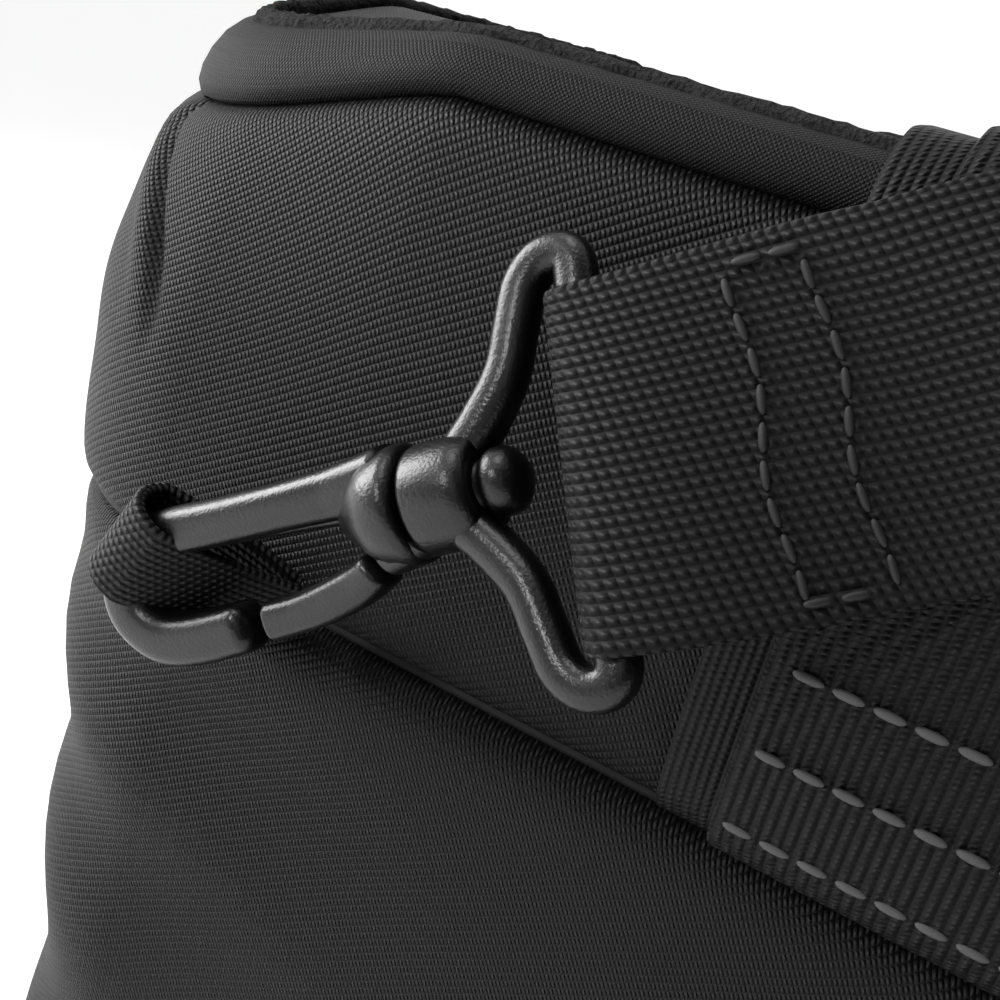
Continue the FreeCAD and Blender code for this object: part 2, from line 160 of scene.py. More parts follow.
class Paint:
    """A named material whose nodes are made by one method."""

    def __init__(self, name, roughness=0.6, **constants):
        self.material = bpy.data.materials.new(name)
        self.material.use_nodes = True
        self.tree = self.material.node_tree
        self.shader = self.tree.nodes["Principled BSDF"]
        self.shader.inputs["Roughness"].default_value = roughness
        for key, value in constants.items():
            self.shader.inputs[key.replace("_", " ")].default_value = value

    def node(self, kind, settings, sockets, output=0):
        made = self.tree.nodes.new(kind)
        for key, value in settings.items():
            setattr(made, key, value)
        pairs = sockets.items() if isinstance(sockets, dict) else enumerate(sockets)
        for key, value in pairs:
            self.put(made.inputs[key], value)
        return Wire(self, made.outputs[output])

    def put(self, target, value):
        if isinstance(value, Wire):
            self.tree.links.new(value.socket, target)
        else:
            target.default_value = value

    def feed(self, **values):
        for key, value in values.items():
            self.put(self.shader.inputs[key.replace("_", " ")], value)

    def cloth_uv(self):
        parts = self.node("ShaderNodeUVMap", {"uv_map": "cloth"}, [])
        split = self.node("ShaderNodeSeparateXYZ", {}, [parts])
        return split, Wire(self, split.socket.node.outputs[1])

    def place(self):
        return self.node("ShaderNodeTexCoord", {}, [], output=3)

    def noise(self, vector, scale, detail=2.0):
        return self.node("ShaderNodeTexNoise", {}, {"Vector": vector, "Scale": scale, "Detail": detail})

    def blend(self, factor, first, second):
        return self.node("ShaderNodeMix", {"data_type": "RGBA"}, {0: factor, 6: first, 7: second}, output=2)

    def bump(self, height, distance, strength=1.0):
        return self.node("ShaderNodeBump", {}, {"Strength": strength, "Distance": distance, "Height": height})


def grey(level):
    return (level, level, level, 1)


def woven(name, warp, weft, dark, light, depth, turn, rough):
    """Woven cloth: floats are the raised halves of cos(u) cos(v), staggered row by row, with a
    slow noise that shifts the tone of single yarns. The base colour is painted lighter on the float
    tops, a painted highlight, and darker in the gaps, painted shade."""
    paint = Paint(name, roughness=rough, Specular_IOR_Level=0.2)
    u, v = paint.cloth_uv()
    c, s = math.cos(turn), math.sin(turn)
    across = (u * c + v * s) / warp
    along = (v * c - u * s) / weft
    wave = (across * math.pi).cos() * (along * math.pi).cos()
    float_up = wave.over(0.0) ** 1.6
    under = (wave * -1.0).over(0.0) ** 0.8
    spot = paint.noise(paint.place(), 900.0, 1.0)
    haze = paint.noise(paint.place(), 28.0, 3.0)
    height = float_up + under * 0.45 + spot * 0.25
    # Painted highlight and shade: float tops lighter and gaps darker in the colour; the two noises add random
    # yarn tone.
    float_light_gap_shade = (float_up * (0.75 + spot * 0.5) + under * 0.25) * (0.8 + haze * 0.4)
    paint.feed(Base_Color=paint.blend(float_light_gap_shade.under(1.0), grey(dark), grey(light)))
    paint.feed(Roughness=(rough + 0.15) - float_up * 0.15)
    paint.feed(Normal=paint.bump(height, depth))
    return paint.material


CLOTH_TURN = math.radians(33.0)
wall_cloth = woven("wall_nylon", 0.00060, 0.00100, 0.0006, 0.034, 0.00060, CLOTH_TURN, 0.42)
soft_cloth = woven("soft_nylon", 0.00056, 0.00094, 0.0006, 0.022, 0.00055, CLOTH_TURN, 0.42)
border_cloth = woven("border_nylon", 0.00040, 0.00042, 0.0015, 0.013, 0.00022, 0.8, 0.5)


def lengths(path):
    """Distance along a line of points, from its first point to each."""
    return np.concatenate([[0], np.cumsum(np.linalg.norm(np.diff(path, axis=0), axis=1))])


def along_line(path, far, want):
    """Points at the wanted distances along a line whose own distances are far."""
    return np.stack([np.interp(want, far, path[:, k]) for k in range(path.shape[1])], -1)


def rounded(phi, square_x, square_y):
    """Circle pushed towards an oblong: cosine and sine, each to its own power with its sign kept."""
    c, s = np.cos(phi), np.sin(phi)
    return np.sign(c) * np.abs(c) ** square_x, np.sign(s) * np.abs(s) ** square_y


def smooth(mesh):
    mesh.polygons.foreach_set("use_smooth", np.ones(len(mesh.polygons), bool))


def circle(sides):
    """Angles evenly round a circle."""
    return np.arange(sides) / sides * 2 * math.pi


def at_level(xy, z):
    """Plan points at one height."""
    return np.column_stack([xy, np.full(len(xy), z)])


def normals_of(path):
    """Left-hand normal at each point of a flat line."""
    tangent = np.gradient(path, axis=0)
    tangent /= np.linalg.norm(tangent, axis=1, keepdims=True)
    return np.stack([-tangent[:, 1], tangent[:, 0]], -1)


def surface(name, points, uv, material, caps=False):
    """Grid of points (rows, columns, 3) as quads that face the way rows x columns turn. The columns
    close on themselves, caps closes both ends, and uv (rows, columns, 2) is in metres."""
    rows, columns = points.shape[:2]
    i, j = np.meshgrid(np.arange(rows - 1), np.arange(columns), indexing="ij")
    k = (j + 1) % columns
    below, over = i * columns, (i + 1) * columns
    quads = np.stack([below + j, below + k, over + k, over + j], -1).reshape(-1, 4)
    faces = quads.tolist()
    ends = 0
    if caps:
        faces += [list(range(columns))[::-1], list(range((rows - 1) * columns, rows * columns))]
        ends = 2 * columns
        a, b, c, d = (points.reshape(-1, 3)[quads[:, k]] - points.reshape(-1, 3).mean(0) for k in range(4))
        if (np.cross(c - a, d - b) * (a + b + c + d)).sum() < 0:
            quads = quads[:, ::-1]
            faces = quads.tolist() + [face[::-1] for face in faces[len(quads):]]
    mesh = bpy.data.meshes.new(name)
    mesh.from_pydata(points.reshape(-1, 3).tolist(), [], faces)
    layer = mesh.uv_layers.new(name="cloth")
    uv = np.concatenate([uv, uv[:, -1:] * 2 - uv[:, -2:-1]], axis=1)
    low = i * (columns + 1) + j
    high = low + columns + 1
    corner = np.stack([low, low + 1, high + 1, high], -1)
    placed = np.concatenate([uv.reshape(-1, 2)[corner.reshape(-1)], np.zeros((ends, 2))])
    layer.data.foreach_set("uv", placed.ravel())
    smooth(mesh)
    mesh.materials.append(material)
    mesh.update()
    return in_scene(name, mesh)


def settle(piece, body, slot, *nodes):
    """Puts a finished piece on its body, in place of the CAD nodes that it stands for."""
    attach(piece, body)
    if nodes:
        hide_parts(*nodes)
    return piece


# Upper wall: one strip of firm nylon round the case, from the belt seam to the top seam. Both edges
# turn in to their seams, the middle crowns, and a dart is folded into each corner.
low_belt, high_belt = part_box("belt_welt")
BELT = (low_belt.z + high_belt.z) / 2
TOP_SEAM = (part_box("top_seam_welt")[0].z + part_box("top_seam_welt")[1].z) / 2
lower_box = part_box("lower_wall_fabric")
HALF_X, HALF_Y = lower_box[1].x, lower_box[1].y
CORNER = 0.034


def outline(step, radius):
    """Plan of the case, from the middle of the back and turning so that outside is on the right:
    (x, y), outward normal and length along, as arrays."""
    xs, ys, nx, ny = [], [], [], []

    def run(x0, y0, x1, y1, normal):
        n = max(2, int(math.hypot(x1 - x0, y1 - y0) / step))
        t = np.arange(n) / n
        xs.append(x0 + (x1 - x0) * t)
        ys.append(y0 + (y1 - y0) * t)
        nx.append(np.full(n, normal[0]))
        ny.append(np.full(n, normal[1]))

    def turn(cx, cy, start):
        a = start + np.arange(80) / 80 * math.pi / 2
        xs.append(cx + radius * np.cos(a))
        ys.append(cy + radius * np.sin(a))
        nx.append(np.cos(a))
        ny.append(np.sin(a))

    ix, iy = HALF_X - radius, HALF_Y - radius
    run(0, HALF_Y, -ix, HALF_Y, (0, 1))
    turn(-ix, iy, math.pi / 2)
    run(-HALF_X, iy, -HALF_X, -iy, (-1, 0))
    turn(-ix, -iy, math.pi)
    run(-ix, -HALF_Y, ix, -HALF_Y, (0, -1))
    turn(ix, -iy, 1.5 * math.pi)
    run(HALF_X, -iy, HALF_X, iy, (1, 0))
    turn(ix, iy, 0.0)
    run(ix, HALF_Y, 0, HALF_Y, (0, 1))
    xy = np.stack([np.concatenate(xs), np.concatenate(ys)], -1)
    normal = np.stack([np.concatenate(nx), np.concatenate(ny)], -1)
    return xy, normal, lengths(xy)


def bell(value, middle, width):
    return np.exp(-((value - middle) / width) ** 2)


def wall_grid(step, radius, heights, swell):
    """Outline carried up through the heights; swell(z, s, angle) pushes it out along its normal."""
    xy, normal, along = outline(step, radius)
    z = np.asarray(heights)[:, None] + 0 * along[None, :]
    s = along[None, :] + 0 * z
    lean = np.arctan2(np.abs(normal[:, 0]), np.abs(normal[:, 1]))[None, :] + 0 * z
    out = swell(z, s, lean, xy[None, :, :] + 0 * z[..., None])
    plan = xy[None] + normal[None] * out[..., None]
    return np.dstack([plan, z]), np.dstack([s, z]), xy


def upper_swell(z, s, lean, xy):
    """Crown of 1.6 mm between the seams, edges turned in 3.4 mm, and a dart in each corner that
    leans from 36 to 12 degrees and dies out three fifths of the way down."""
    t = (z - BELT) / (TOP_SEAM - BELT)
    crown = 0.0016 * np.sin(math.pi * np.clip(t, 0, 1)) ** 0.6
    tuck = 0.0034 * (np.exp(-(z - BELT) / 0.0011) + np.exp(-(TOP_SEAM - z) / 0.0014))
    dart_lean = math.radians(12) + math.radians(24) * np.clip((t - 0.45) / 0.5, 0, 1) ** 1.3
    offset = (lean - dart_lean) * CORNER
    fade = np.clip((t - 0.38) / 0.25, 0, 1) * (np.abs(xy[..., 1]) > HALF_Y - CORNER * 1.01)
    dart = fade * (0.0017 * bell(offset, 0, 0.0014) - 0.0009 * bell(offset, 0.0042, 0.0028))
    ripple = 0.0005 * np.sin(s * 61 + z * 130) * np.sin(z * 90 + s * 17) * np.sin(math.pi * np.clip(t, 0, 1))
    return crown - tuck - dart + ripple


def droop(points):
    """Softens the four top corners: near a corner, and more the higher it is, a point sinks by up
    to 13 mm and moves in towards the case's middle."""
    x, y, z = points[..., 0], points[..., 1], points[..., 2]
    room = 0.062
    near_x = np.clip((np.abs(x) - HALF_X + room) / room, 0, 1)
    near_y = np.clip((np.abs(y) - HALF_Y + room) / room, 0, 1)
    near = (near_x * near_y) ** 1.25 * (2.2 - 1.2 * near_x * near_y)
    t = np.clip((z - BELT) / (TOP_SEAM - BELT), 0, 1.2)
    pull = 0.09 * near * t ** 3
    made = points.copy()
    made[..., 0] = x - np.sign(x) * (np.abs(x) - HALF_X + room).clip(0) * pull
    made[..., 1] = y - np.sign(y) * (np.abs(y) - HALF_Y + room).clip(0) * pull
    made[..., 2] = z - 0.013 * near * np.minimum(t, 1) ** 2.2 * (1 - 3.2 * (t - 1).clip(0, 0.12))
    return made


edge = np.array([0, 0.0004, 0.0009, 0.0016, 0.0026, 0.004, 0.006])
rows = np.linspace(BELT + 0.008, TOP_SEAM - 0.008, 56)
upper_z = np.concatenate([BELT + edge, rows, TOP_SEAM - edge[::-1]])
points, uv, _ = wall_grid(0.004, CORNER, upper_z, upper_swell)
upper_wall = surface("upper_wall", droop(points), uv, wall_cloth)
settle(upper_wall, "case", "wall_nylon", "upper_wall_fabric")

# Lower wall: the same nylon, softer, on the lower three quarters. It bulges forward just under the
# belt seam and wrinkles near the corners; the rear is open where the door is.
WALL_FOOT = lower_box[0].z
door_low, door_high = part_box("door_zip_tape")
DOOR_X, DOOR_Z0, DOOR_Z1 = door_high.x, door_low.z - 0.001, door_high.z + 0.001


def lower_swell(z, s, lean, xy):
    """Bulge of 3.4 mm under the belt and 1.4 mm over the height, slanting folds near the corners,
    and end walls drawn in by up to 12 mm."""
    down = BELT - z
    lip = 0.0034 * (1 - np.exp(-down / 0.0022)) * (0.45 + 0.55 * np.exp(-down / 0.03))
    tuck = 0.0036 * np.exp(-down / 0.0009)
    foot = 0.0050 * np.exp(-(z - WALL_FOOT) / 0.006)
    body = 0.0014 * np.sin(math.pi * np.clip(down / (BELT - WALL_FOOT), 0, 1))
    corner = np.exp(-((np.abs(xy[..., 0]) - HALF_X) / 0.06) ** 2)
    slant = z * 150 + (HALF_X - np.abs(xy[..., 0])) * 75 + 1.4 * np.sin(z * 37)
    folds = 0.0013 * corner * np.sin(slant) * np.clip(down / 0.02, 0, 1)
    slow = 0.0008 * np.sin(s * 31 + z * 22) * np.sin(z * 47 - s * 9) * np.clip(down / 0.03, 0, 1)
    rear = np.clip((xy[..., 1] - HALF_Y + 0.002) / 0.002, 0, 1)
    waist = 0.0120 * np.sin(lean) ** 2 * np.clip(down / 0.07, 0, 1) ** 1.2
    return (lip + body + folds + slow) * (1 - 0.9 * rear) - tuck - foot - waist


lower_z = np.unique(np.concatenate([
    WALL_FOOT + edge, np.linspace(WALL_FOOT + 0.009, BELT - 0.012, 44), BELT - edge, [BELT - 0.009],
    [DOOR_Z0, DOOR_Z1]]).round(6))
points, uv, plan = wall_grid(0.004, CORNER + 0.008, lower_z, lower_swell)
rear = points[..., 1] > HALF_Y - 0.006
snap = rear & (np.abs(np.abs(points[..., 0]) - DOOR_X) < 0.0021)
points[..., 0] = np.where(snap, np.sign(points[..., 0]) * DOOR_X, points[..., 0])
lower_wall = surface("lower_wall", points, uv, soft_cloth)


def open_window(piece, half_x, low, high, side):
    """Drops the faces whose middle is inside the window on the given side."""
    mesh = piece.data
    middle = np.zeros(len(mesh.polygons) * 3)
    mesh.polygons.foreach_get("center", middle)
    middle = middle.reshape(-1, 3)
    gone = (np.abs(middle[:, 0]) < half_x) & (middle[:, 2] > low) & (middle[:, 2] < high)
    gone &= middle[:, 1] * side > 0
    work = bmesh.new()
    work.from_mesh(mesh)
    work.faces.ensure_lookup_table()
    bmesh.ops.delete(work, geom=[work.faces[i] for i in np.flatnonzero(gone)], context="FACES")
    work.to_mesh(mesh)
    work.free()


open_window(lower_wall, DOOR_X, DOOR_Z0, DOOR_Z1, 1)
settle(lower_wall, "case", "soft_nylon", "lower_wall_fabric")

# Top border and panel: a finer cloth band rolls back from the top seam, a felted cord covers the
# join, and inside it the panel is one crowned sheet of the wall cloth.
FELT = 0.0085


def shrunk(inset):
    """The plan outline drawn in by inset, corners and all."""
    xy, normal, along = outline(0.004, CORNER)
    return xy - normal * inset, along


rows, rows_uv = [], []
for step_in, height, run in ((0.0036, -0.0002, 0.0), (0.0018, 0.0004, 0.0015), (0.0008, 0.0015, 0.003),
                             (0.0006, 0.0028, 0.0045), (0.0011, 0.0043, 0.006), (0.0024, 0.0058, 0.0075),
                             (0.0044, 0.0068, 0.0095), (0.0066, 0.0071, 0.0115), (FELT, 0.0066, 0.0135)):
    ring, along = shrunk(step_in)
    rows.append(at_level(ring, TOP_SEAM + height))
    rows_uv.append(at_level(along, run))
border = surface("top_border", droop(np.array(rows)), np.array(rows_uv), border_cloth)
settle(border, "case", "wall_nylon", "top_seam_welt")

rows, rows_uv = [], []
ring, along = shrunk(FELT - 0.0004)
for scale in [1.0, 0.995, 0.985] + np.linspace(0.97, 0.66, 18).tolist() + [0.55, 0.4, 0.2, 0.08, 0.0005]:
    lift = 0.0068 + 0.0016 * (1 - scale ** 4) - 0.0016 * (scale > 0.99)
    rows.append(at_level(ring * scale, TOP_SEAM + lift))
    rows_uv.append(ring * scale)
panel = surface("top_panel", droop(np.array(rows)), np.array(rows_uv), wall_cloth)
settle(panel, "case", "wall_nylon", "top_panel_fabric")

# Snap hook: one black moulding with a satin, finely grained skin. Shank, bend and tip are one bar;
# a flange carries the post, whose head shows inside the swivel loop. The gate springs at its root.
STRAP_TURN = math.radians(34.5)
SWIVEL = np.array([-0.236, -0.128, 0.225])
U_AXIS = np.array([math.cos(STRAP_TURN), 0, math.sin(STRAP_TURN)])
V_AXIS = np.array([-math.sin(STRAP_TURN), 0, math.cos(STRAP_TURN)])
W_AXIS = np.array([0.0, -1.0, 0.0])
ROLL_V = V_AXIS * math.cos(math.radians(20)) + np.array([0, math.sin(math.radians(20)), 0])
ROLL_W = np.cross(U_AXIS, ROLL_V)


def moulded(name, level, rough, grain):
    """Satin plastic: a fine pebbled grain, slow gloss changes and a little dust in the colour."""
    paint = Paint(name, roughness=rough, Specular_IOR_Level=0.5)
    fine = paint.noise(paint.place(), 2600.0, 2.0)
    slow = paint.noise(paint.place(), 60.0, 3.0)
    paint.feed(Base_Color=paint.blend(slow, grey(level * 0.8), grey(level * 1.3)))
    paint.feed(Roughness=(slow - 0.5) * 0.18 + rough)
    paint.feed(Normal=paint.bump(fine, grain, 0.6))
    return paint.material


hook_plastic = moulded("hook_plastic", 0.0012, 0.30, 0.00010)


def smooth_path(points, count):
    """Catmull-Rom line through the points, evenly spread by length."""
    p = np.asarray(points, float)
    p = np.vstack([2 * p[0] - p[1], p, 2 * p[-1] - p[-2]])
    t = np.linspace(0, 1, 24, endpoint=False)[:, None]
    a, b, c, d = (p[k:len(p) - 3 + k][:, None, :] for k in range(4))
    bend = (2 * a - 5 * b + 4 * c - d) * t ** 2 + (3 * b - a - 3 * c + d) * t ** 3
    line = 0.5 * (2 * b + (c - a) * t + bend)
    line = np.vstack([line.reshape(-1, p.shape[1]), p[-2]])
    far = lengths(line)
    return along_line(line, far, np.linspace(0, far[-1], count))


def bar(points, wide, deep, across=V_AXIS, out=W_AXIS, count=60, square=0.8, taper=(0.35, 0.35)):
    """Bar along a (u, v) line: each ring is a rounded oblong, wide in the plane and deep across it,
    drawn in at both ends by a quarter round."""
    line = smooth_path(points, count)
    normal = normals_of(line)
    s = np.linspace(0, 1, count)
    wide = np.interp(s, np.linspace(0, 1, len(wide)), wide)
    deep = np.interp(s, np.linspace(0, 1, len(deep)), deep)
    far = lengths(line)
    for end, share in ((far, taper[0]), (far[-1] - far, taper[1])):
        if share:
            reach = wide.max() * share
            k = np.sqrt(1 - np.clip(1 - end / reach, 0, 0.98) ** 2)
            wide, deep = wide * k, deep * k
    phi = circle(28)
    c, d = rounded(phi, square, square)
    flat = line[:, None, :] + normal[:, None, :] * (wide[:, None] * c[None, :])[..., None]
    solid = SWIVEL + flat[..., :1] * U_AXIS + flat[..., 1:] * across
    solid = solid - (deep[:, None] * d[None, :])[..., None] * out
    uv = np.dstack([phi[None, :] * wide[:, None], far[:, None] + 0 * phi[None, :]])
    return solid, uv


def turned(profile):
    """Round piece about the strap's own line, from its (u, radius) profile."""
    line = np.asarray(profile, float)
    phi = circle(48)
    solid = SWIVEL + line[:, None, :1] * U_AXIS
    solid = solid + (line[:, None, 1:] * np.cos(phi)[None, :, None]) * V_AXIS
    solid = solid - (line[:, None, 1:] * np.sin(phi)[None, :, None]) * W_AXIS
    uv = np.dstack([phi[None, :] * 0.006 + 0 * line[:, :1], line[:, :1] + 0 * phi[None, :]])
    return solid, uv


def joined(name, parts, material):
    """Several closed grids as one piece."""
    made = [surface(name + "_part", points, uv, material, caps=True) for points, uv in parts]
    with bpy.context.temp_override(active_object=made[0], selected_editable_objects=made):
        bpy.ops.object.join()
    made[0].name = name
    made[0].data.name = name
    return made[0]


def both_ends(parts):
    """The same grids for the back right clip: half a turn about the upright middle line."""
    return [(points * np.array([-1, -1, 1]), uv) for points, uv in parts]


def mm(*values):
    """Numbers or points in millimetres as an array in metres."""
    return np.array(values) * 0.001


shank_bend = [(-9, 3.2), (-20, 3.3), (-34, 3.5), (-43, 3.7), (-48, 2.4), (-51.3, -1.2), (-51.2, -5.2),
              (-47.6, -8.6), (-42, -9.6), (-33.0, -9.3)]
hook_bar = bar(mm(*shank_bend), mm(3.9, 3.1, 2.9, 2.9, 3.0, 3.2, 3.3, 3.4, 3.3, 3.1),
               mm(3.8, 3.3, 3.3, 3.3, 3.3, 3.4, 3.4, 3.4, 3.3, 3.1), count=110, taper=(0, 0.5), square=0.72)
rib = bar(mm((-12, 0.8), (-22, 1.2), (-36, 1.4)), mm(1.6, 1.2, 0.7), mm(1.6, 1.4, 1.2), taper=(0, 0.9))
flange = turned(mm((-15.5, 2.6), (-13.5, 4.2), (-11.5, 5.8), (-9.8, 6.5), (-7.4, 6.8), (-6.4, 6.6),
                   (-6.0, 6.0), (-5.9, 4.6)))
head = turned(mm((2.6, 2.6), (3.6, 3.4), (4.2, 3.7), (5.2, 3.75), (6.2, 3.4), (7.0, 2.5), (7.4, 1.2),
                 (7.5, 0.2)))
post = turned(mm((-6.2, 2.9), (-5.0, 2.9), (3.0, 2.9)))
gate_line = mm((-12.6, -5.6), (-15.5, -7.0), (-20, -8.2), (-25, -9.0), (-30.6, -9.3))
gate = bar(gate_line, mm(2.3, 2.5, 2.5, 2.4, 2.5), mm(3.2, 2.9, 2.8, 2.8, 2.9),
           square=0.7, taper=(0.5, 0.25))
fork = bar(mm((-6.5, -2.6), (-9.5, -4.2), (-12.4, -5.6)), mm(3.6, 3.0, 2.0), mm(4.6, 4.0, 3.0),
           taper=(0, 0.4))
for place, shift in (("front", list), ("back", both_ends)):
    solid = shift([hook_bar, rib, flange, head, post, fork])
    made = joined("snap_hook_" + place + "_moulding", solid, hook_plastic)
    settle(made, "hook_" + place, "hook_plastic", "snap_hook_" + place)
    made = joined("hook_gate_" + place + "_moulding", shift([gate]), hook_plastic)
    settle(made, "gate_" + place, "hook_plastic", "hook_gate_" + place)

# Swivel loop: a rounded triangle of the same moulding. Its collar turns on the hook's post and its
# straight bar carries the strap.
half_loop = [(0.4, 4.2), (3.0, 6.9), (6.2, 11.2), (8.0, 16.4), (9.6, 20.6), (12.4, 22.7), (15.4, 21.7)]
loop_line = half_loop + [(15.6, 16.0), (15.6, 0), (15.6, -16.0)] + [(u, -v) for u, v in reversed(half_loop)]
arms = bar(mm(*loop_line), mm(2.6, 2.4, 2.35, 2.3, 2.3, 2.3, 2.3, 2.35, 2.4, 2.6),
           mm(2.9, 2.5, 2.4, 2.3, 2.3, 2.3, 2.3, 2.4, 2.5, 2.9), across=ROLL_V, out=ROLL_W,
           count=150, square=0.85, taper=(0, 0))
collar = turned(mm((-5.3, 3.2), (-5.3, 5.6), (-5.0, 6.0), (-4.4, 6.15), (0.6, 6.0), (1.8, 5.7),
                   (2.6, 5.0), (2.8, 4.2), (2.6, 3.2)))
for place, shift in (("front", list), ("back", both_ends)):
    made = joined("swivel_loop_" + place + "_moulding", shift([arms, collar]), hook_plastic)
    settle(made, "case", "hook_plastic", "swivel_loop_" + place)

# Shoulder strap: 38 mm ribbed nylon webbing in one length. Each end folds round its loop's bar and is
# sewn back on itself; between them it lies corner to corner over the case.
BAR_U = 0.0156
HALF_WEB = 0.019
WEB_T = 0.0018
strap_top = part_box("strap_webbing")[1].z - WEB_T / 2
EDGE_R = 0.0190
STRAP_Y = -0.1213
RISE = strap_top - EDGE_R - SWIVEL[2]
FULL = RISE + EDGE_R * math.pi / 2 - (STRAP_Y + EDGE_R)
STRAP_LEAN = math.atan2(FULL, -SWIVEL[0])
MID_U = math.hypot(FULL, SWIVEL[0])


def strap_place(u, v, w):
    """Unrolled webbing to its lie: up the front, round the top edge by a quarter turn, and flat over
    the top. Towards the clip it rolls 20 degrees, stands 7 mm further out and sags by 3 mm."""
    near = np.clip((0.052 - u) / 0.038, 0, 1)
    near = near * near * (3 - 2 * near)
    roll = math.radians(20) * near
    settled = np.clip((u - 0.012) / 0.034, 0, 1) * np.clip((0.14 - u) / 0.08, 0, 1)
    out = v * np.sin(roll) - 0.0067 * near
    v = v * np.cos(roll) - 0.0030 * settled
    x = SWIVEL[0] + u * math.cos(STRAP_LEAN) - v * math.sin(STRAP_LEAN)
    s = u * math.sin(STRAP_LEAN) + v * math.cos(STRAP_LEAN)
    turn = np.clip((s - RISE) / EDGE_R, 0, math.pi / 2)
    up = np.minimum(s, RISE)
    over = np.maximum(s - RISE - EDGE_R * math.pi / 2, 0)
    centre_y, centre_z = STRAP_Y + EDGE_R, SWIVEL[2] + RISE
    y = centre_y - (EDGE_R + w) * np.cos(turn) + over
    z = centre_z - (RISE - up) + (EDGE_R + w) * np.sin(turn)
    return np.stack([x, y + out, z], -1)


FACE_COLUMNS = 22


def flat_ring(half, thickness):
    """Webbing section with points spread evenly over both faces and a round lip at each edge."""
    run = np.linspace(1, -1, FACE_COLUMNS) * (half - thickness / 2)
    lip = np.array([0.75, 0.0, -0.75])
    end = half - thickness / 2 * (1 - np.sqrt(1 - lip ** 2))
    across = np.concatenate([run, -end, -run, end])
    flat = np.ones(FACE_COLUMNS)
    through = np.concatenate([flat, lip, -flat, lip[::-1]]) * thickness / 2
    return across, through


def ribbon(line, place, half, thickness, count):
    """Webbing along a (u, w) line: the section is set across v and along the line's own normal, and
    place carries (u, v, w) to where it lies."""
    path = smooth_path(line, count)
    normal = normals_of(path)
    across, through = flat_ring(half, thickness)
    u = path[:, :1] + normal[:, :1] * through[None, :]
    w = path[:, 1:] + normal[:, 1:] * through[None, :]
    v = np.broadcast_to(across[None, :], u.shape)
    uv = np.dstack([v, lengths(path)[:, None] + 0 * v])
    return place(u, v, w), uv


def webbing_cloth(name, light, across=0.00118, along=0.00125, slant=0.28, depth=0.00045):
    """Ribbed webbing: rounded floats in slanted rows over gaps; the colour is painted lighter on the
    floats and ribs (painted highlight) and darker in the gaps (painted shade).
    """
    paint = Paint(name, roughness=0.45, Specular_IOR_Level=0.2)
    u, v = paint.cloth_uv()
    row = u / across
    step = v / along + row * slant
    lump = ((row * 2 * math.pi).cos() * 0.5 + 0.5) * ((step * 2 * math.pi).cos() * 0.5 + 0.5)
    lump = lump ** 0.75
    rib = (row * 2 * math.pi).cos() * 0.5 + 0.5
    spot = paint.noise(paint.place(), 1100.0, 1.0)
    slow = paint.noise(paint.place(), 40.0, 2.0)
    # Painted highlight and shade: floats and ribs lighter, gaps darker in the colour; the noises add random
    # yarn tone.
    float_light_gap_shade = (lump * (0.7 + spot * 0.6) + rib * 0.12) * (0.8 + slow * 0.4)
    paint.feed(Base_Color=paint.blend(float_light_gap_shade.under(1.0), grey(0.0015), grey(light)))
    paint.feed(Roughness=0.62 - lump * 0.15)
    paint.feed(Normal=paint.bump(lump + rib * 0.3 + spot * 0.2, depth))
    return paint.material


strap_cloth = webbing_cloth("webbing_ribbed", 0.015, depth=0.00055)
fold = [(0.030, -0.0020), (0.020, -0.0021), (0.008, -0.0024), (0.003, -0.0031), (-0.0008, -0.0031),
        (-0.0026, 0.0), (-0.0008, 0.0031), (0.003, 0.0033), (0.008, 0.0026), (0.016, 0.0011), (0.026, 0.0003),
        (0.040, 0.0)]
line = [(BAR_U + u, w) for u, w in fold] + [(u, 0.0) for u in np.linspace(BAR_U + 0.05, MID_U, 24)]
front_half, front_uv = ribbon(line, strap_place, HALF_WEB, WEB_T, 330)
flip = np.concatenate([np.arange(FACE_COLUMNS)[::-1], np.arange(FACE_COLUMNS, front_half.shape[1])[::-1]])
back_half = front_half[::-1][:, flip] * np.array([-1, -1, 1])
length = front_uv[-1, 0, 1]
back_uv = front_uv[::-1][:, flip] * np.array([-1, -1]) + np.array([0, 2 * length])
strap = surface("shoulder_strap", np.vstack([front_half, back_half[1:]]), np.vstack([front_uv, back_uv[1:]]),
                strap_cloth, caps=True)
settle(strap, "case", "webbing", "strap_webbing", "strap_end_front", "strap_end_back")

def capsules(name, centres, along, out, length, radius, material, sides=8):
    """Short round-ended bars in one piece, such as stitches or zip teeth: centres, directions and
    outward directions are (n, 3); each is a little flattened against what it lies on."""
    centres, along, out = (np.asarray(k, float) + np.zeros((len(centres), 3)) for k in (centres, along, out))
    along = along / np.linalg.norm(along, axis=1, keepdims=True)
    out = out - (out * along).sum(1, keepdims=True) * along
    out = out / np.linalg.norm(out, axis=1, keepdims=True)
    side = np.cross(along, out)
    t = np.array([-1.0, -0.9, -0.6, -0.2, 0.2, 0.6, 0.9, 1.0])
    wide = radius * np.array([0.15, 0.55, 0.9, 1.0, 1.0, 0.9, 0.55, 0.15])
    phi = circle(sides)
    grid = centres[:, None, None] + along[:, None, None] * (t * length / 2)[None, :, None, None]
    grid = grid + side[:, None, None] * (wide[:, None] * np.cos(phi)[None])[None, ..., None]
    grid = grid + out[:, None, None] * (0.75 * wide[:, None] * np.sin(phi)[None])[None, ..., None]
    k = np.arange(sides)
    ring = np.stack([k, (k + 1) % sides, (k + 1) % sides + sides, k + sides], -1)
    one = (np.arange(len(t) - 1)[:, None, None] * sides + ring[None]).reshape(-1, 4)
    quads = (np.arange(len(centres))[:, None, None] * (len(t) * sides) + one[None]).reshape(-1, 4)
    mesh = bpy.data.meshes.new(name)
    mesh.from_pydata(grid.reshape(-1, 3).tolist(), [], quads[:, ::-1].tolist())
    smooth(mesh)
    mesh.materials.append(material)
    return in_scene(name, mesh)


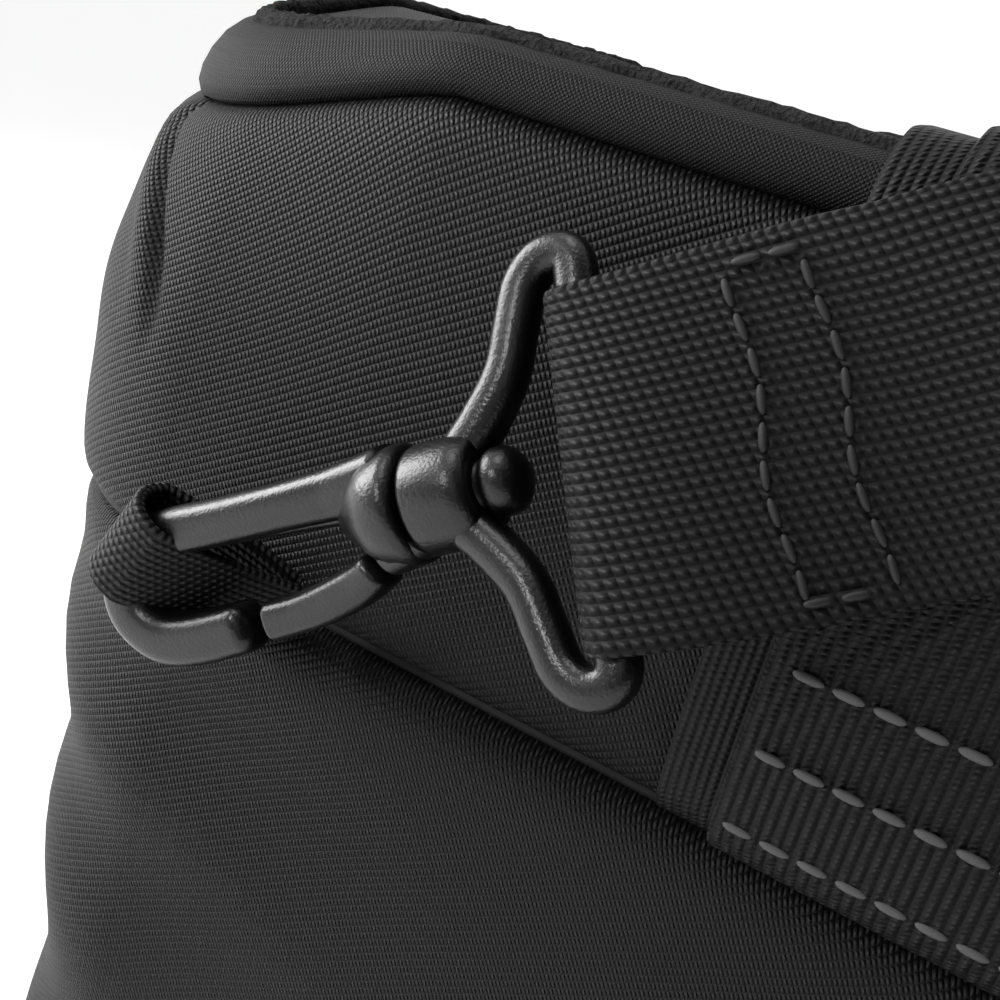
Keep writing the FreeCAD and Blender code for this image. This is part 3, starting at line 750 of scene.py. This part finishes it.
def spaced(path, pitch):
    """Centres and directions every pitch along a path of (n, 3) points."""
    path = np.asarray(path, float)
    far = lengths(path)
    want = np.arange(pitch / 2, far[-1], pitch)
    near = pitch * 0.2
    direction = along_line(path, far, want + near) - along_line(path, far, want - near)
    return along_line(path, far, want), direction


# Box stitch of the strap's ends: two rows across the webbing and one along each edge, in black thread.
black_thread = moulded("thread_black", 0.005, 0.6, 0.00005)
grey_thread = moulded("thread_grey", 0.055, 0.6, 0.00005)
thread_rows = []


def on_strap(u, v):
    """A point of thread on the strap's outer face, which lifts off towards the fold."""
    lift = np.interp(u, [0.0236, 0.0316, 0.0416, 0.0556], [0.0026, 0.0012, 0.0003, 0.0])
    return strap_place(u, v, lift + 0.0010)


BOX_NEAR, BOX_FAR, BOX_HALF = 0.0325, 0.0400, 0.0165
for u0 in (BOX_NEAR, BOX_FAR):
    v = np.linspace(-BOX_HALF, BOX_HALF, 40)
    thread_rows.append(on_strap(u0 + 0.0006 * np.sin(v * 300), v))
for v0 in (-BOX_HALF, BOX_HALF):
    u = np.linspace(BOX_NEAR, BOX_FAR, 12)
    thread_rows.append(on_strap(u, v0 + 0 * u))
for place, turned_by in (("front", 1), ("back", -1)):
    pairs = [spaced(row * np.array([turned_by, turned_by, 1]), 0.0036) for row in thread_rows]
    centres, along = (np.vstack(part) for part in zip(*pairs))
    out = np.array([0, -0.9 * turned_by, 0.35])
    made = capsules("strap_stitches_" + place, centres, along, out, 0.0029, 0.00048, black_thread)
    settle(made, "case", "webbing")

# Strap tab: narrow webbing doubled round the hook where its shank turns into the bend, with both
# layers caught in the belt seam.
tab_cloth = webbing_cloth("webbing_narrow", 0.020, across=0.00105, along=0.00105, slant=0.5)
TAB_LEAN = math.radians(29)
TAB_A = U_AXIS * math.cos(TAB_LEAN) + V_AXIS * math.sin(TAB_LEAN)
TAB_D = U_AXIS * math.sin(TAB_LEAN) - V_AXIS * math.cos(TAB_LEAN)
TAB_EYE = SWIVEL - U_AXIS * 0.0468 + V_AXIS * 0.0028
ROOT_D, ROOT_W = 0.0150, -0.0120


def tab_place(u, v, w):
    """Tab's own plane, with a slow twist of 14 degrees towards the seam."""
    twist = math.radians(14) * np.clip(u / ROOT_D, 0, 1)
    return TAB_EYE + u[..., None] * TAB_D + (v * np.cos(twist))[..., None] * TAB_A + \
        (w + v * np.sin(twist) * 0.35)[..., None] * W_AXIS


wrap = [(0.0044 * math.cos(math.radians(a)), 0.0044 * math.sin(math.radians(a))) for a in range(50, 240, 22)]
line = [(ROOT_D + 0.0004, ROOT_W + 0.0008), (0.0095, -0.0040)] + wrap
line += [(0.0068, -0.0092), (ROOT_D - 0.0006, ROOT_W)]
tab_points, tab_uv = ribbon(line, tab_place, 0.0066, 0.0015, 120)
for place, turned_by in (("front", 1), ("back", -1)):
    turn = np.array([turned_by, turned_by, 1])
    name = "strap_tab_" + place + "_webbing"
    made = surface(name, tab_points * turn, tab_uv, tab_cloth, caps=True)
    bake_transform(made)
    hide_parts("strap_tab_" + place)

# Girth bands: webbing over the case at each third, on a wider thin patch. Both are caught in the belt
# seam, front and back, and sewn through with heavy grey thread.
band_cloth = webbing_cloth("webbing_band", 0.011, across=0.00125, along=0.00115, slant=0.5)
patch_cloth = webbing_cloth("webbing_patch", 0.010, across=0.00105, along=0.00100, slant=0.5, depth=0.0003)
BAND_X = (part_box("girth_band_right")[0].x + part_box("girth_band_right")[1].x) / 2
PATCH_HALF = (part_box("band_patch_right")[1].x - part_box("band_patch_right")[0].x) / 2


FRONT_Y = -0.1168
BAND_STAND = 0.0022


def over_case(stand):
    """Line up the front, round the top border and over to the back, standing off the cloth by stand."""
    front = [(-0.1140, BELT + 0.0006), (-0.1158, BELT + 0.004), (-0.1166, BELT + 0.012), (FRONT_Y, 0.225),
             (-0.1166, 0.245), (-0.1158, 0.2575), (-0.1140, 0.2655), (-0.1095, 0.2702), (-0.1030, 0.2712)]
    out = [(-1, 0)] * 5 + [(-0.96, 0.25), (-0.82, 0.55), (-0.4, 0.9), (0, 1)]
    half = [(y + a * stand, z + b * stand) for (y, z), (a, b) in zip(front, out)]
    top = [(y, 0.2714 + stand) for y in np.linspace(-0.09, 0.09, 13)]
    return half + top + [(-y, z) for y, z in reversed(half)]


for side, middle in (("left", -BAND_X), ("right", BAND_X)):
    for name, half, thick, stand, cloth in (("band_patch_", PATCH_HALF, 0.0010, 0.0007, patch_cloth),
                                            ("girth_band_", HALF_WEB, WEB_T, BAND_STAND, band_cloth)):
        def across_case(y, x, z):
            return np.stack([middle + x, y, z], -1)

        points, uv = ribbon(over_case(stand), across_case, half, thick, 420)
        made = surface(name + side + "_webbing", points, uv, cloth, caps=True)
        settle(made, "case", "webbing", name + side)
    x = np.linspace(-0.0178, 0.0178, 30) + middle
    runs = []
    for height, reach in ((0.0045, 1.0), (0.0145, 0.96), (0.0245, 0.92)):
        z = BELT + height + 0 * x
        y = FRONT_Y - BAND_STAND - 0.0012 + 0.0012 * (height < 0.01) + 0 * x
        row = np.stack([(x - middle) * reach + middle, y, z], -1)
        runs += [spaced(row, 0.0043), spaced(row * np.array([1, -1, 1]), 0.0043)]
    centres, along = (np.vstack(part) for part in zip(*runs))
    outwards = np.stack([0 * centres[:, 0], np.sign(centres[:, 1]), 0 * centres[:, 0]], -1)
    made = capsules("band_stitches_" + side, centres, along, outwards, 0.0034, 0.00058, grey_thread)
    settle(made, "case", "webbing")

# Felt edge and belt cord: a fuzzy grey felt cord covers the join of border and top panel, and a thin
# black cord lies deep in the belt seam.
felt = Paint("felt_edge", roughness=0.95, Specular_IOR_Level=0.1)
fuzz = felt.noise(felt.place(), 1500.0, 4.0)
felt.feed(Base_Color=felt.blend(fuzz, grey(0.004), grey(0.055)))
felt.feed(Normal=felt.bump(fuzz, 0.0012))


def cord_ring(inset, height, wide, tall, rough=0.0):
    """Closed cord round the case at an inset, with an oval section and a random nap."""
    xy, normal, along = outline(0.002, CORNER)
    phi = circle(14)
    nap = 1 + rough * np.random.default_rng(7).standard_normal((14, len(xy)))
    across = (np.cos(phi)[:, None] * wide * nap)[..., None]
    lift = np.sin(phi)[:, None] * tall * nap + height
    plan = (xy - normal * inset)[None] + normal[None] * across
    grid = np.dstack([plan, lift])
    grid = np.vstack([grid, grid[:1]])
    flat = 0 * grid[..., 0]
    uv = np.dstack([along[None] + flat, np.append(phi, 2 * math.pi)[:, None] * wide + flat])
    return grid, uv


grid, uv = cord_ring(FELT, TOP_SEAM + 0.0070, 0.0019, 0.0014, 0.10)
settle(surface("top_edge_felt_cord", droop(grid)[::-1], uv[::-1], felt.material), "case", "welt",
       "top_edge_felt")
seam_black = moulded("seam_black", 0.003, 0.8, 0.00005)
grid, uv = cord_ring(0.0026, BELT, 0.0010, 0.0010)
settle(surface("belt_seam_cord", grid[::-1], uv[::-1], seam_black), "case", "welt", "belt_welt")

# Hidden core: grey closed-cell foam walls, lining, board, saddles and straps. Each is its own part,
# eased; the foam walls, inner lining and base board are also pressed to the shape of the cover round them.
def plain(name, level, rough, scale, distance, metal=0.0):
    """Plain finish: a noise of the given scale moves the colour by a third and dents the surface."""
    paint = Paint(name, roughness=rough, Metallic=metal, Specular_IOR_Level=0.3)
    spots = paint.noise(paint.place(), scale, 3.0)
    paint.feed(Base_Color=paint.blend(spots, grey(level * 0.65), grey(level * 1.35)))
    paint.feed(Roughness=(spots - 0.5) * 0.15 + rough)
    paint.feed(Normal=paint.bump(spots, distance))
    return paint.material


foam_grey = plain("foam_grey", 0.12, 0.9, 900.0, 0.0003)
lining_cloth = plain("lining_tricot", 0.035, 0.7, 1400.0, 0.00015)
board_black = plain("board_black", 0.02, 0.5, 500.0, 0.00008)
tape_cloth = plain("tape_weave", 0.012, 0.7, 1600.0, 0.00015)
coil_black = plain("coil_black", 0.010, 0.4, 900.0, 0.00003)
metal_black = plain("metal_black", 0.035, 0.38, 700.0, 0.00003, metal=0.8)
cover_mesh = plain("pad_mesh", 0.010, 0.75, 1300.0, 0.0004)
rubber_black = plain("rubber_black", 0.014, 0.7, 800.0, 0.0001)


def pressed(points):
    """Follows the cover: the corner droop, and the lower wall's waist at both ends."""
    made = droop(points)
    x, z = points[..., 0], points[..., 2]
    waist = 0.0124 * np.clip((BELT - z) / 0.07, 0, 1) ** 1.2 * np.clip((np.abs(x) - 0.25) / 0.05, 0, 1)
    made[..., 0] -= np.sign(x) * waist
    made[..., :2] *= 1 - 0.0035 * (np.abs(points[..., :2]) > 0.09)
    far_x = np.clip((np.abs(points[..., 0]) - 0.25) / 0.05, 0, 1)
    far_y = np.clip((np.abs(points[..., 1]) - 0.045) / 0.05, 0, 1)
    made[..., :2] *= 1 - np.array([0.036, 0.100]) * (far_x * far_y)[..., None]
    return made


def coordinates(made):
    """The piece's points as (n, 3)."""
    place = np.zeros(len(made.data.vertices) * 3)
    made.data.vertices.foreach_get("co", place)
    return place.reshape(-1, 3)


def eased(node, material, voxel=0.0, width=0.0008, rounds=2, press=False):
    """The CAD part's own mesh with its edges rounded: by a voxel skin smoothed a few times for thick
    foam, otherwise by a bevel of the given width."""
    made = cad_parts[node].copy()
    made.data = made.data.copy()
    for key in list(made.keys()):
        del made[key]
    made.parent = None
    made.name = node + "_made"
    made.data.name = made.name
    bpy.context.scene.collection.objects.link(made)
    made.data.materials.clear()
    made.data.materials.append(material)
    work = bmesh.new()
    work.from_mesh(made.data)
    bmesh.ops.remove_doubles(work, verts=work.verts, dist=0.00002)
    bmesh.ops.dissolve_limit(work, angle_limit=0.02, verts=work.verts, edges=work.edges)
    work.to_mesh(made.data)
    work.free()
    if voxel:
        change = made.modifiers.new("skin", "REMESH")
        change.mode = "VOXEL"
        change.voxel_size = voxel
        change = made.modifiers.new("smooth", "SMOOTH")
        change.iterations = rounds
    else:
        change = made.modifiers.new("ease", "BEVEL")
        change.width = width
        change.segments = 3
        change.limit_method = "ANGLE"
        change.harden_normals = True
    with bpy.context.temp_override(object=made, active_object=made, selected_objects=[made]):
        for change in list(made.modifiers):
            bpy.ops.object.modifier_apply(modifier=change.name)
    if press:
        made.data.vertices.foreach_set("co", pressed(coordinates(made)).ravel())
    smooth(made.data)
    made.data.update()
    return made


def from_cad(node, body, slot, material, **how):
    """A CAD part with eased edges stands for itself."""
    settle(eased(node, material, **how), body, slot, node)


for node in ("foam_front", "foam_left", "foam_right", "foam_back_rail", "foam_back_posts", "foam_top",
             "saddle_left", "saddle_right", "divider"):
    from_cad(node, "case", "foam", foam_grey, voxel=0.0035, rounds=3, press=node.startswith("foam"))
from_cad("door_foam", "door", "foam", foam_grey, voxel=0.0035, rounds=3)
from_cad("door_lining", "door", "lining", lining_cloth, width=0.0004)
for node, material, slot, width in (("inner_lining", lining_cloth, "lining", 0.0003),
                                    ("base_board", board_black, "board", 0.0006),
                                    ("accessory_tray", board_black, "tape", 0.0012)):
    from_cad(node, "case", slot, material, width=width, press=node != "accessory_tray")
for side in ("left", "right"):
    from_cad("hold_down_strap_" + side, "case", "webbing", tape_cloth, voxel=0.0006, rounds=2)

# Rear door: one leaf of the soft nylon over foam, crowned a little. A coil zip on a black tape runs up
# both sides and across the top, and a sewn tape along the foot is its hinge.
def cushion(half_x, half_y, corner, profile, step=0.006):
    """Rings of a rounded oblong, each drawn in and lifted as the (inset, height) profile says; the
    last ring is scaled to the middle so that the face closes."""
    turns = np.linspace(0, math.pi / 2, 9)
    xs, ys = [], []
    for k, (cx, cy) in enumerate(((1, 1), (-1, 1), (-1, -1), (1, -1))):
        xs.append(cx * (half_x - corner) + corner * np.cos(turns + k * math.pi / 2))
        ys.append(cy * (half_y - corner) + corner * np.sin(turns + k * math.pi / 2))
    ring = np.column_stack([np.concatenate(xs), np.concatenate(ys)])
    ring = np.vstack([ring, ring[:1]])
    far = lengths(ring)
    ring = along_line(ring, far, np.linspace(0, far[-1], int(far[-1] / step), endpoint=False))
    rows = []
    for inset, height in profile:
        factor = np.array([1 - inset / half_x, 1 - inset / half_y])
        rows.append(at_level(ring * factor, height))
    flat = rows[-1][:, :2]
    for scale in (0.92, 0.8, 0.65, 0.5, 0.35, 0.2, 0.08, 0.0005):
        rows.append(at_level(flat * scale, profile[-1][1] + 0.0012 * (1 - scale ** 3)))
    grid = np.array(rows)
    return grid, grid[..., :2] * 1.0


door_a, door_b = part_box("door_fabric")
half = (door_b.z - door_a.z) / 2
grid, uv = cushion(door_b.x, half, 0.004, [(0.001, -0.0012), (0, -0.0009), (0.0003, -0.0003), (0.0015, 0.0),
                                           (0.004, 0.0006), (0.010, 0.0014), (0.022, 0.0022)])
wave = 0.0004 * np.sin(grid[..., 0] * 43 + grid[..., 1] * 19) * np.sin(grid[..., 1] * 61)
leaf = np.stack([-grid[..., 0], grid[..., 2] + HALF_Y + wave, grid[..., 1] + door_a.z + half], -1)
made = surface("door_leaf", leaf, uv, soft_cloth)
settle(made, "door", "soft_nylon", "door_fabric")
from_cad("door_zip_tape", "case", "tape", tape_cloth, width=0.0002)
hinge = eased("door_hinge_tape", tape_cloth, width=0.0002)
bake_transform(hinge)
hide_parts("door_hinge_tape")


TOOTH_PITCH = 0.0016


def coil_teeth(name, path, out, body, node):
    """Two rows of slanted teeth either side of a path, offset by half a pitch."""
    centres, along = spaced(path, TOOTH_PITCH)
    along = along / np.linalg.norm(along, axis=1, keepdims=True)
    across = np.cross(along, np.asarray(out, float))
    one = centres + across * 0.00065
    two = centres - across * 0.00065 + along * TOOTH_PITCH / 2
    rows = np.vstack([one, two])
    slant = np.vstack([across + along * 0.25, across - along * 0.25])
    made = capsules(name, rows, slant, out, 0.0024, 0.00062, coil_black, sides=6)
    settle(made, body, "zip_coil", node)


coil_a, coil_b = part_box("door_zip_coil")
run_x, run_z = coil_b.x - 0.0016, coil_b.z - 0.0016
turns = np.linspace(0, math.pi / 2, 8)
corner = [(-run_x + 0.004 - 0.004 * math.cos(a), run_z - 0.004 + 0.004 * math.sin(a)) for a in turns]
path = [(-run_x, coil_a.z)] + corner + [(-x, z) for x, z in reversed(corner)] + [(run_x, coil_a.z)]
path = np.array([(x, coil_a.y + 0.0007, z) for x, z in path])
coil_teeth("door_zip_teeth", path, (0, 1, 0), "case", "door_zip_coil")
for side in ("left", "right"):
    for kind in ("slider", "pull"):
        node = "door_" + kind + "_" + side
        from_cad(node, node, "zip_metal", metal_black, voxel=0.00025, rounds=4)

# Front pocket: a flat bellows of the soft nylon on the lower wall, with a coil zip along its top.
pocket_a, pocket_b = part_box("front_pocket")
half = (pocket_b.z - pocket_a.z) / 2
deep = pocket_b.y - pocket_a.y
bellows = [(0.0012, -0.0012), (0.0, 0.0), (0.0006, deep * 0.25), (0.0022, deep * 0.42), (0.0022, deep * 0.52),
           (0.0005, deep * 0.66), (0.0004, deep * 0.84), (0.0012, deep * 0.95), (0.004, deep),
           (0.012, deep + 0.0008)]
grid, uv = cushion(pocket_b.x, half, 0.010, bellows)
wave = 0.0007 * np.sin(grid[..., 0] * 37 + grid[..., 1] * 29) * np.sin(grid[..., 1] * 53 - 0.6)
middle = np.array([(pocket_a.x + pocket_b.x) / 2, pocket_b.y, pocket_a.z + half])
front = np.stack([grid[..., 0] + middle[0], middle[1] - grid[..., 2] - wave, grid[..., 1] + middle[2]], -1)
settle(surface("front_pocket_cover", front, uv, soft_cloth), "case", "soft_nylon", "front_pocket")
coil_a, coil_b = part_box("pocket_zip_coil")
coil_y = (coil_a.y + coil_b.y) / 2
path = np.array([(x, coil_y, coil_b.z - 0.0002) for x in np.linspace(coil_a.x, coil_b.x, 40)])
coil_teeth("pocket_zip_teeth", path, (0, 0, 1), "case", "pocket_zip_coil")
for node in ("pocket_slider", "pocket_pull"):
    from_cad(node, node, "zip_metal", metal_black, voxel=0.00025, rounds=4)

# Shoulder pad: two layers of mesh over foam with a pressed quilt line, on two keepers under it. The
# strap's three-bar adjuster lies at its side.
pad_a, pad_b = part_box("shoulder_pad")
PAD_X, PAD_Y, PAD_Z = 0.115, 0.031, pad_b.z - pad_a.z
PAD_MIDDLE = (pad_a.z + pad_b.z) / 2
PAD_TURN = math.radians(34.5)
QUILT_Y, QUILT_END = 0.0115, 0.098
pad_edge = [(0.006, -0.5), (0.002, -0.46), (0.0003, -0.28), (0.0, 0.0), (0.0003, 0.28), (0.002, 0.44),
            (0.0042, 0.455), (0.0052, 0.39), (0.0062, 0.46), (0.009, 0.5)]
grid, uv = cushion(PAD_X, PAD_Y, 0.0235, pad_edge, step=0.004)
x, y, height = grid[..., 0], grid[..., 1], grid[..., 2]
lift = np.where(height > 0.5, 0.5 * PAD_Z, height * PAD_Z)
sewn = bell(y, QUILT_Y, 0.0011) + bell(y, -QUILT_Y, 0.0011)
lift = lift - 0.0011 * (height > 0.45) * sewn * (np.abs(x) < QUILT_END)
turned_x = x * math.cos(PAD_TURN) - y * math.sin(PAD_TURN)
turned_y = x * math.sin(PAD_TURN) + y * math.cos(PAD_TURN)
pad_grid = np.stack([turned_x, turned_y, lift + PAD_MIDDLE], -1)
pad_piece = surface("shoulder_pad_cover", pad_grid, uv, cover_mesh, caps=True)


def puffed(made, voxel, cap):
    """Stuffs a closed piece: voxel skin, 20 steps of cloth under pressure with gravity off, no point
    moved further than cap, and one subdivision."""
    with bpy.context.temp_override(object=made, active_object=made, selected_objects=[made]):
        skin = made.modifiers.new("skin", "REMESH")
        skin.mode = "VOXEL"
        skin.voxel_size = voxel
        bpy.ops.object.modifier_apply(modifier=skin.name)
        before = coordinates(made)
        cloth = made.modifiers.new("cloth", "CLOTH")
        cloth.settings.use_pressure = True
        cloth.settings.uniform_pressure_force = 4.0
        cloth.settings.effector_weights.gravity = 0.0
        for step in range(1, 21):
            bpy.context.scene.frame_set(step)
            bpy.context.view_layer.update()
        grown = made.evaluated_get(bpy.context.evaluated_depsgraph_get())
        move = coordinates(grown) - before
        made.modifiers.remove(cloth)
        bpy.context.scene.frame_set(1)
        far = np.linalg.norm(move, axis=1, keepdims=True)
        made.data.vertices.foreach_set("co", (before + move * np.minimum(1, cap / far.clip(1e-9))).ravel())
        finer = made.modifiers.new("finer", "SUBSURF")
        finer.levels = 1
        bpy.ops.object.modifier_apply(modifier=finer.name)
    smooth(made.data)
    return made


puffed(pad_piece, 0.004, 0.0016)
place = coordinates(pad_piece)
along = place[:, 0] * math.cos(PAD_TURN) + place[:, 1] * math.sin(PAD_TURN)
across = place[:, 1] * math.cos(PAD_TURN) - place[:, 0] * math.sin(PAD_TURN)
sewn = bell(across, QUILT_Y, 0.0013) + bell(across, -QUILT_Y, 0.0013)
place[:, 2] -= 0.0012 * sewn * (np.abs(along) < QUILT_END) * (place[:, 2] > PAD_MIDDLE)
place[:, 2] = place[:, 2].clip(pad_a.z + 0.0001)
pad_piece.data.vertices.foreach_set("co", place.ravel())
pad_piece.data.update()
settle(pad_piece, "case", "pad_cover", "shoulder_pad")
from_cad("pad_keepers", "case", "webbing", tape_cloth, width=0.0003)
from_cad("strap_adjuster", "adjuster", "hook_plastic", hook_plastic, voxel=0.0005, rounds=3)

# Top handle: an arch of webbing with a rolled, padded grip. Its two feet bend where they leave the
# panel and are sewn flat with a crossed box.
grip_a, grip_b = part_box("handle_grip")
crown = (grip_a.z + grip_b.z) / 2 - 0.0002
foot_a, foot_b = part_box("handle_foot_left")
HANDLE_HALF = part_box("top_handle")[1].y
FOOT_Z = foot_a.z + 0.0012
SPAN = 0.0950
arch = [(-SPAN - 0.0004, foot_b.z), (-SPAN + 0.002, foot_b.z + 0.010), (-SPAN + 0.008, foot_b.z + 0.024),
        (-SPAN + 0.021, crown - 0.006), (-SPAN + 0.038, crown - 0.0008), (-0.046, crown), (0, crown)]
arch = arch + [(-x, z) for x, z in reversed(arch[:-1])]
points, uv = ribbon(arch, lambda x, y, z: np.stack([x, y, z], -1), HANDLE_HALF, 0.0024, 160)
handle = surface("handle_webbing", points, uv, band_cloth, caps=True)
settle(handle, "handle", "webbing", "top_handle")
phi = circle(40)
t = np.linspace(-1, 1, 60)
taper = 1 - 0.16 * np.abs(t) ** 8
half_y, half_z = (grip_b.y - grip_a.y) / 2, (grip_b.z - grip_a.z) / 2
y, z = rounded(phi, 0.75, 0.85)
y, z = y * half_y, z * half_z
groove = 1 - 0.10 * (bell(phi, 1.5 * math.pi, 0.12))
grid = np.stack([0 * phi[None] + t[:, None] * grip_b.x, y[None] * taper[:, None],
                 z[None] * groove[None] * taper[:, None] + (grip_a.z + grip_b.z) / 2], -1)
uv = np.dstack([phi[None] * 0.012 + 0 * t[:, None], t[:, None] * grip_b.x + 0 * phi[None]])
grip = surface("handle_grip_cover", grid, uv, cover_mesh, caps=True)
settle(grip, "handle", "pad_cover", "handle_grip")
for side, sign in (("left", -1), ("right", 1)):
    bend = [(0.026, FOOT_Z), (0.012, FOOT_Z), (0.0045, FOOT_Z + 0.0006), (0.0008, FOOT_Z + 0.0040),
            (-0.0004, foot_b.z)]
    line = [(sign * (SPAN + x), z) for x, z in bend]
    points, uv = ribbon(line, lambda x, y, z: np.stack([x, y, z], -1), HANDLE_HALF, 0.0022, 60)
    foot = surface("handle_foot_" + side + "_webbing", points, uv, band_cloth, caps=True)
    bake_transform(foot)
    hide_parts("handle_foot_" + side)
    x0, x1, y1 = SPAN + 0.009, SPAN + 0.023, HANDLE_HALF - 0.003
    corners = [(x0, -y1), (x1, -y1), (x1, y1), (x0, y1), (x0, -y1), (x1, y1), (x1, -y1), (x0, y1)]
    row = np.array([(sign * x, y, FOOT_Z + 0.0012) for x, y in corners])
    centres, along = spaced(row, 0.0034)
    made = capsules("foot_stitches_" + side, centres, along, (0, 0, 1), 0.0028, 0.0005, grey_thread)
    settle(made, "case", "webbing")

# Underside: one panel of the soft nylon, with six moulded rubber studs.
under_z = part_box("bottom_fabric")[0].z
hem = [(0, 0.0022), (0.0012, 0.0006), (0.004, 0.0), (0.012, -0.0002)]
grid, uv = cushion(HALF_X - 0.0175, HALF_Y - 0.0052, CORNER, hem)
rise = grid[..., 2] * np.where(grid[..., 2] > 0.0023, 0, 1)
under = np.stack([grid[..., 0], -grid[..., 1], under_z + rise], -1)
settle(surface("bottom_panel", under, uv, soft_cloth), "case", "soft_nylon", "bottom_fabric")
from_cad("base_studs", "case", "stud_rubber", rubber_black, width=0.0012)
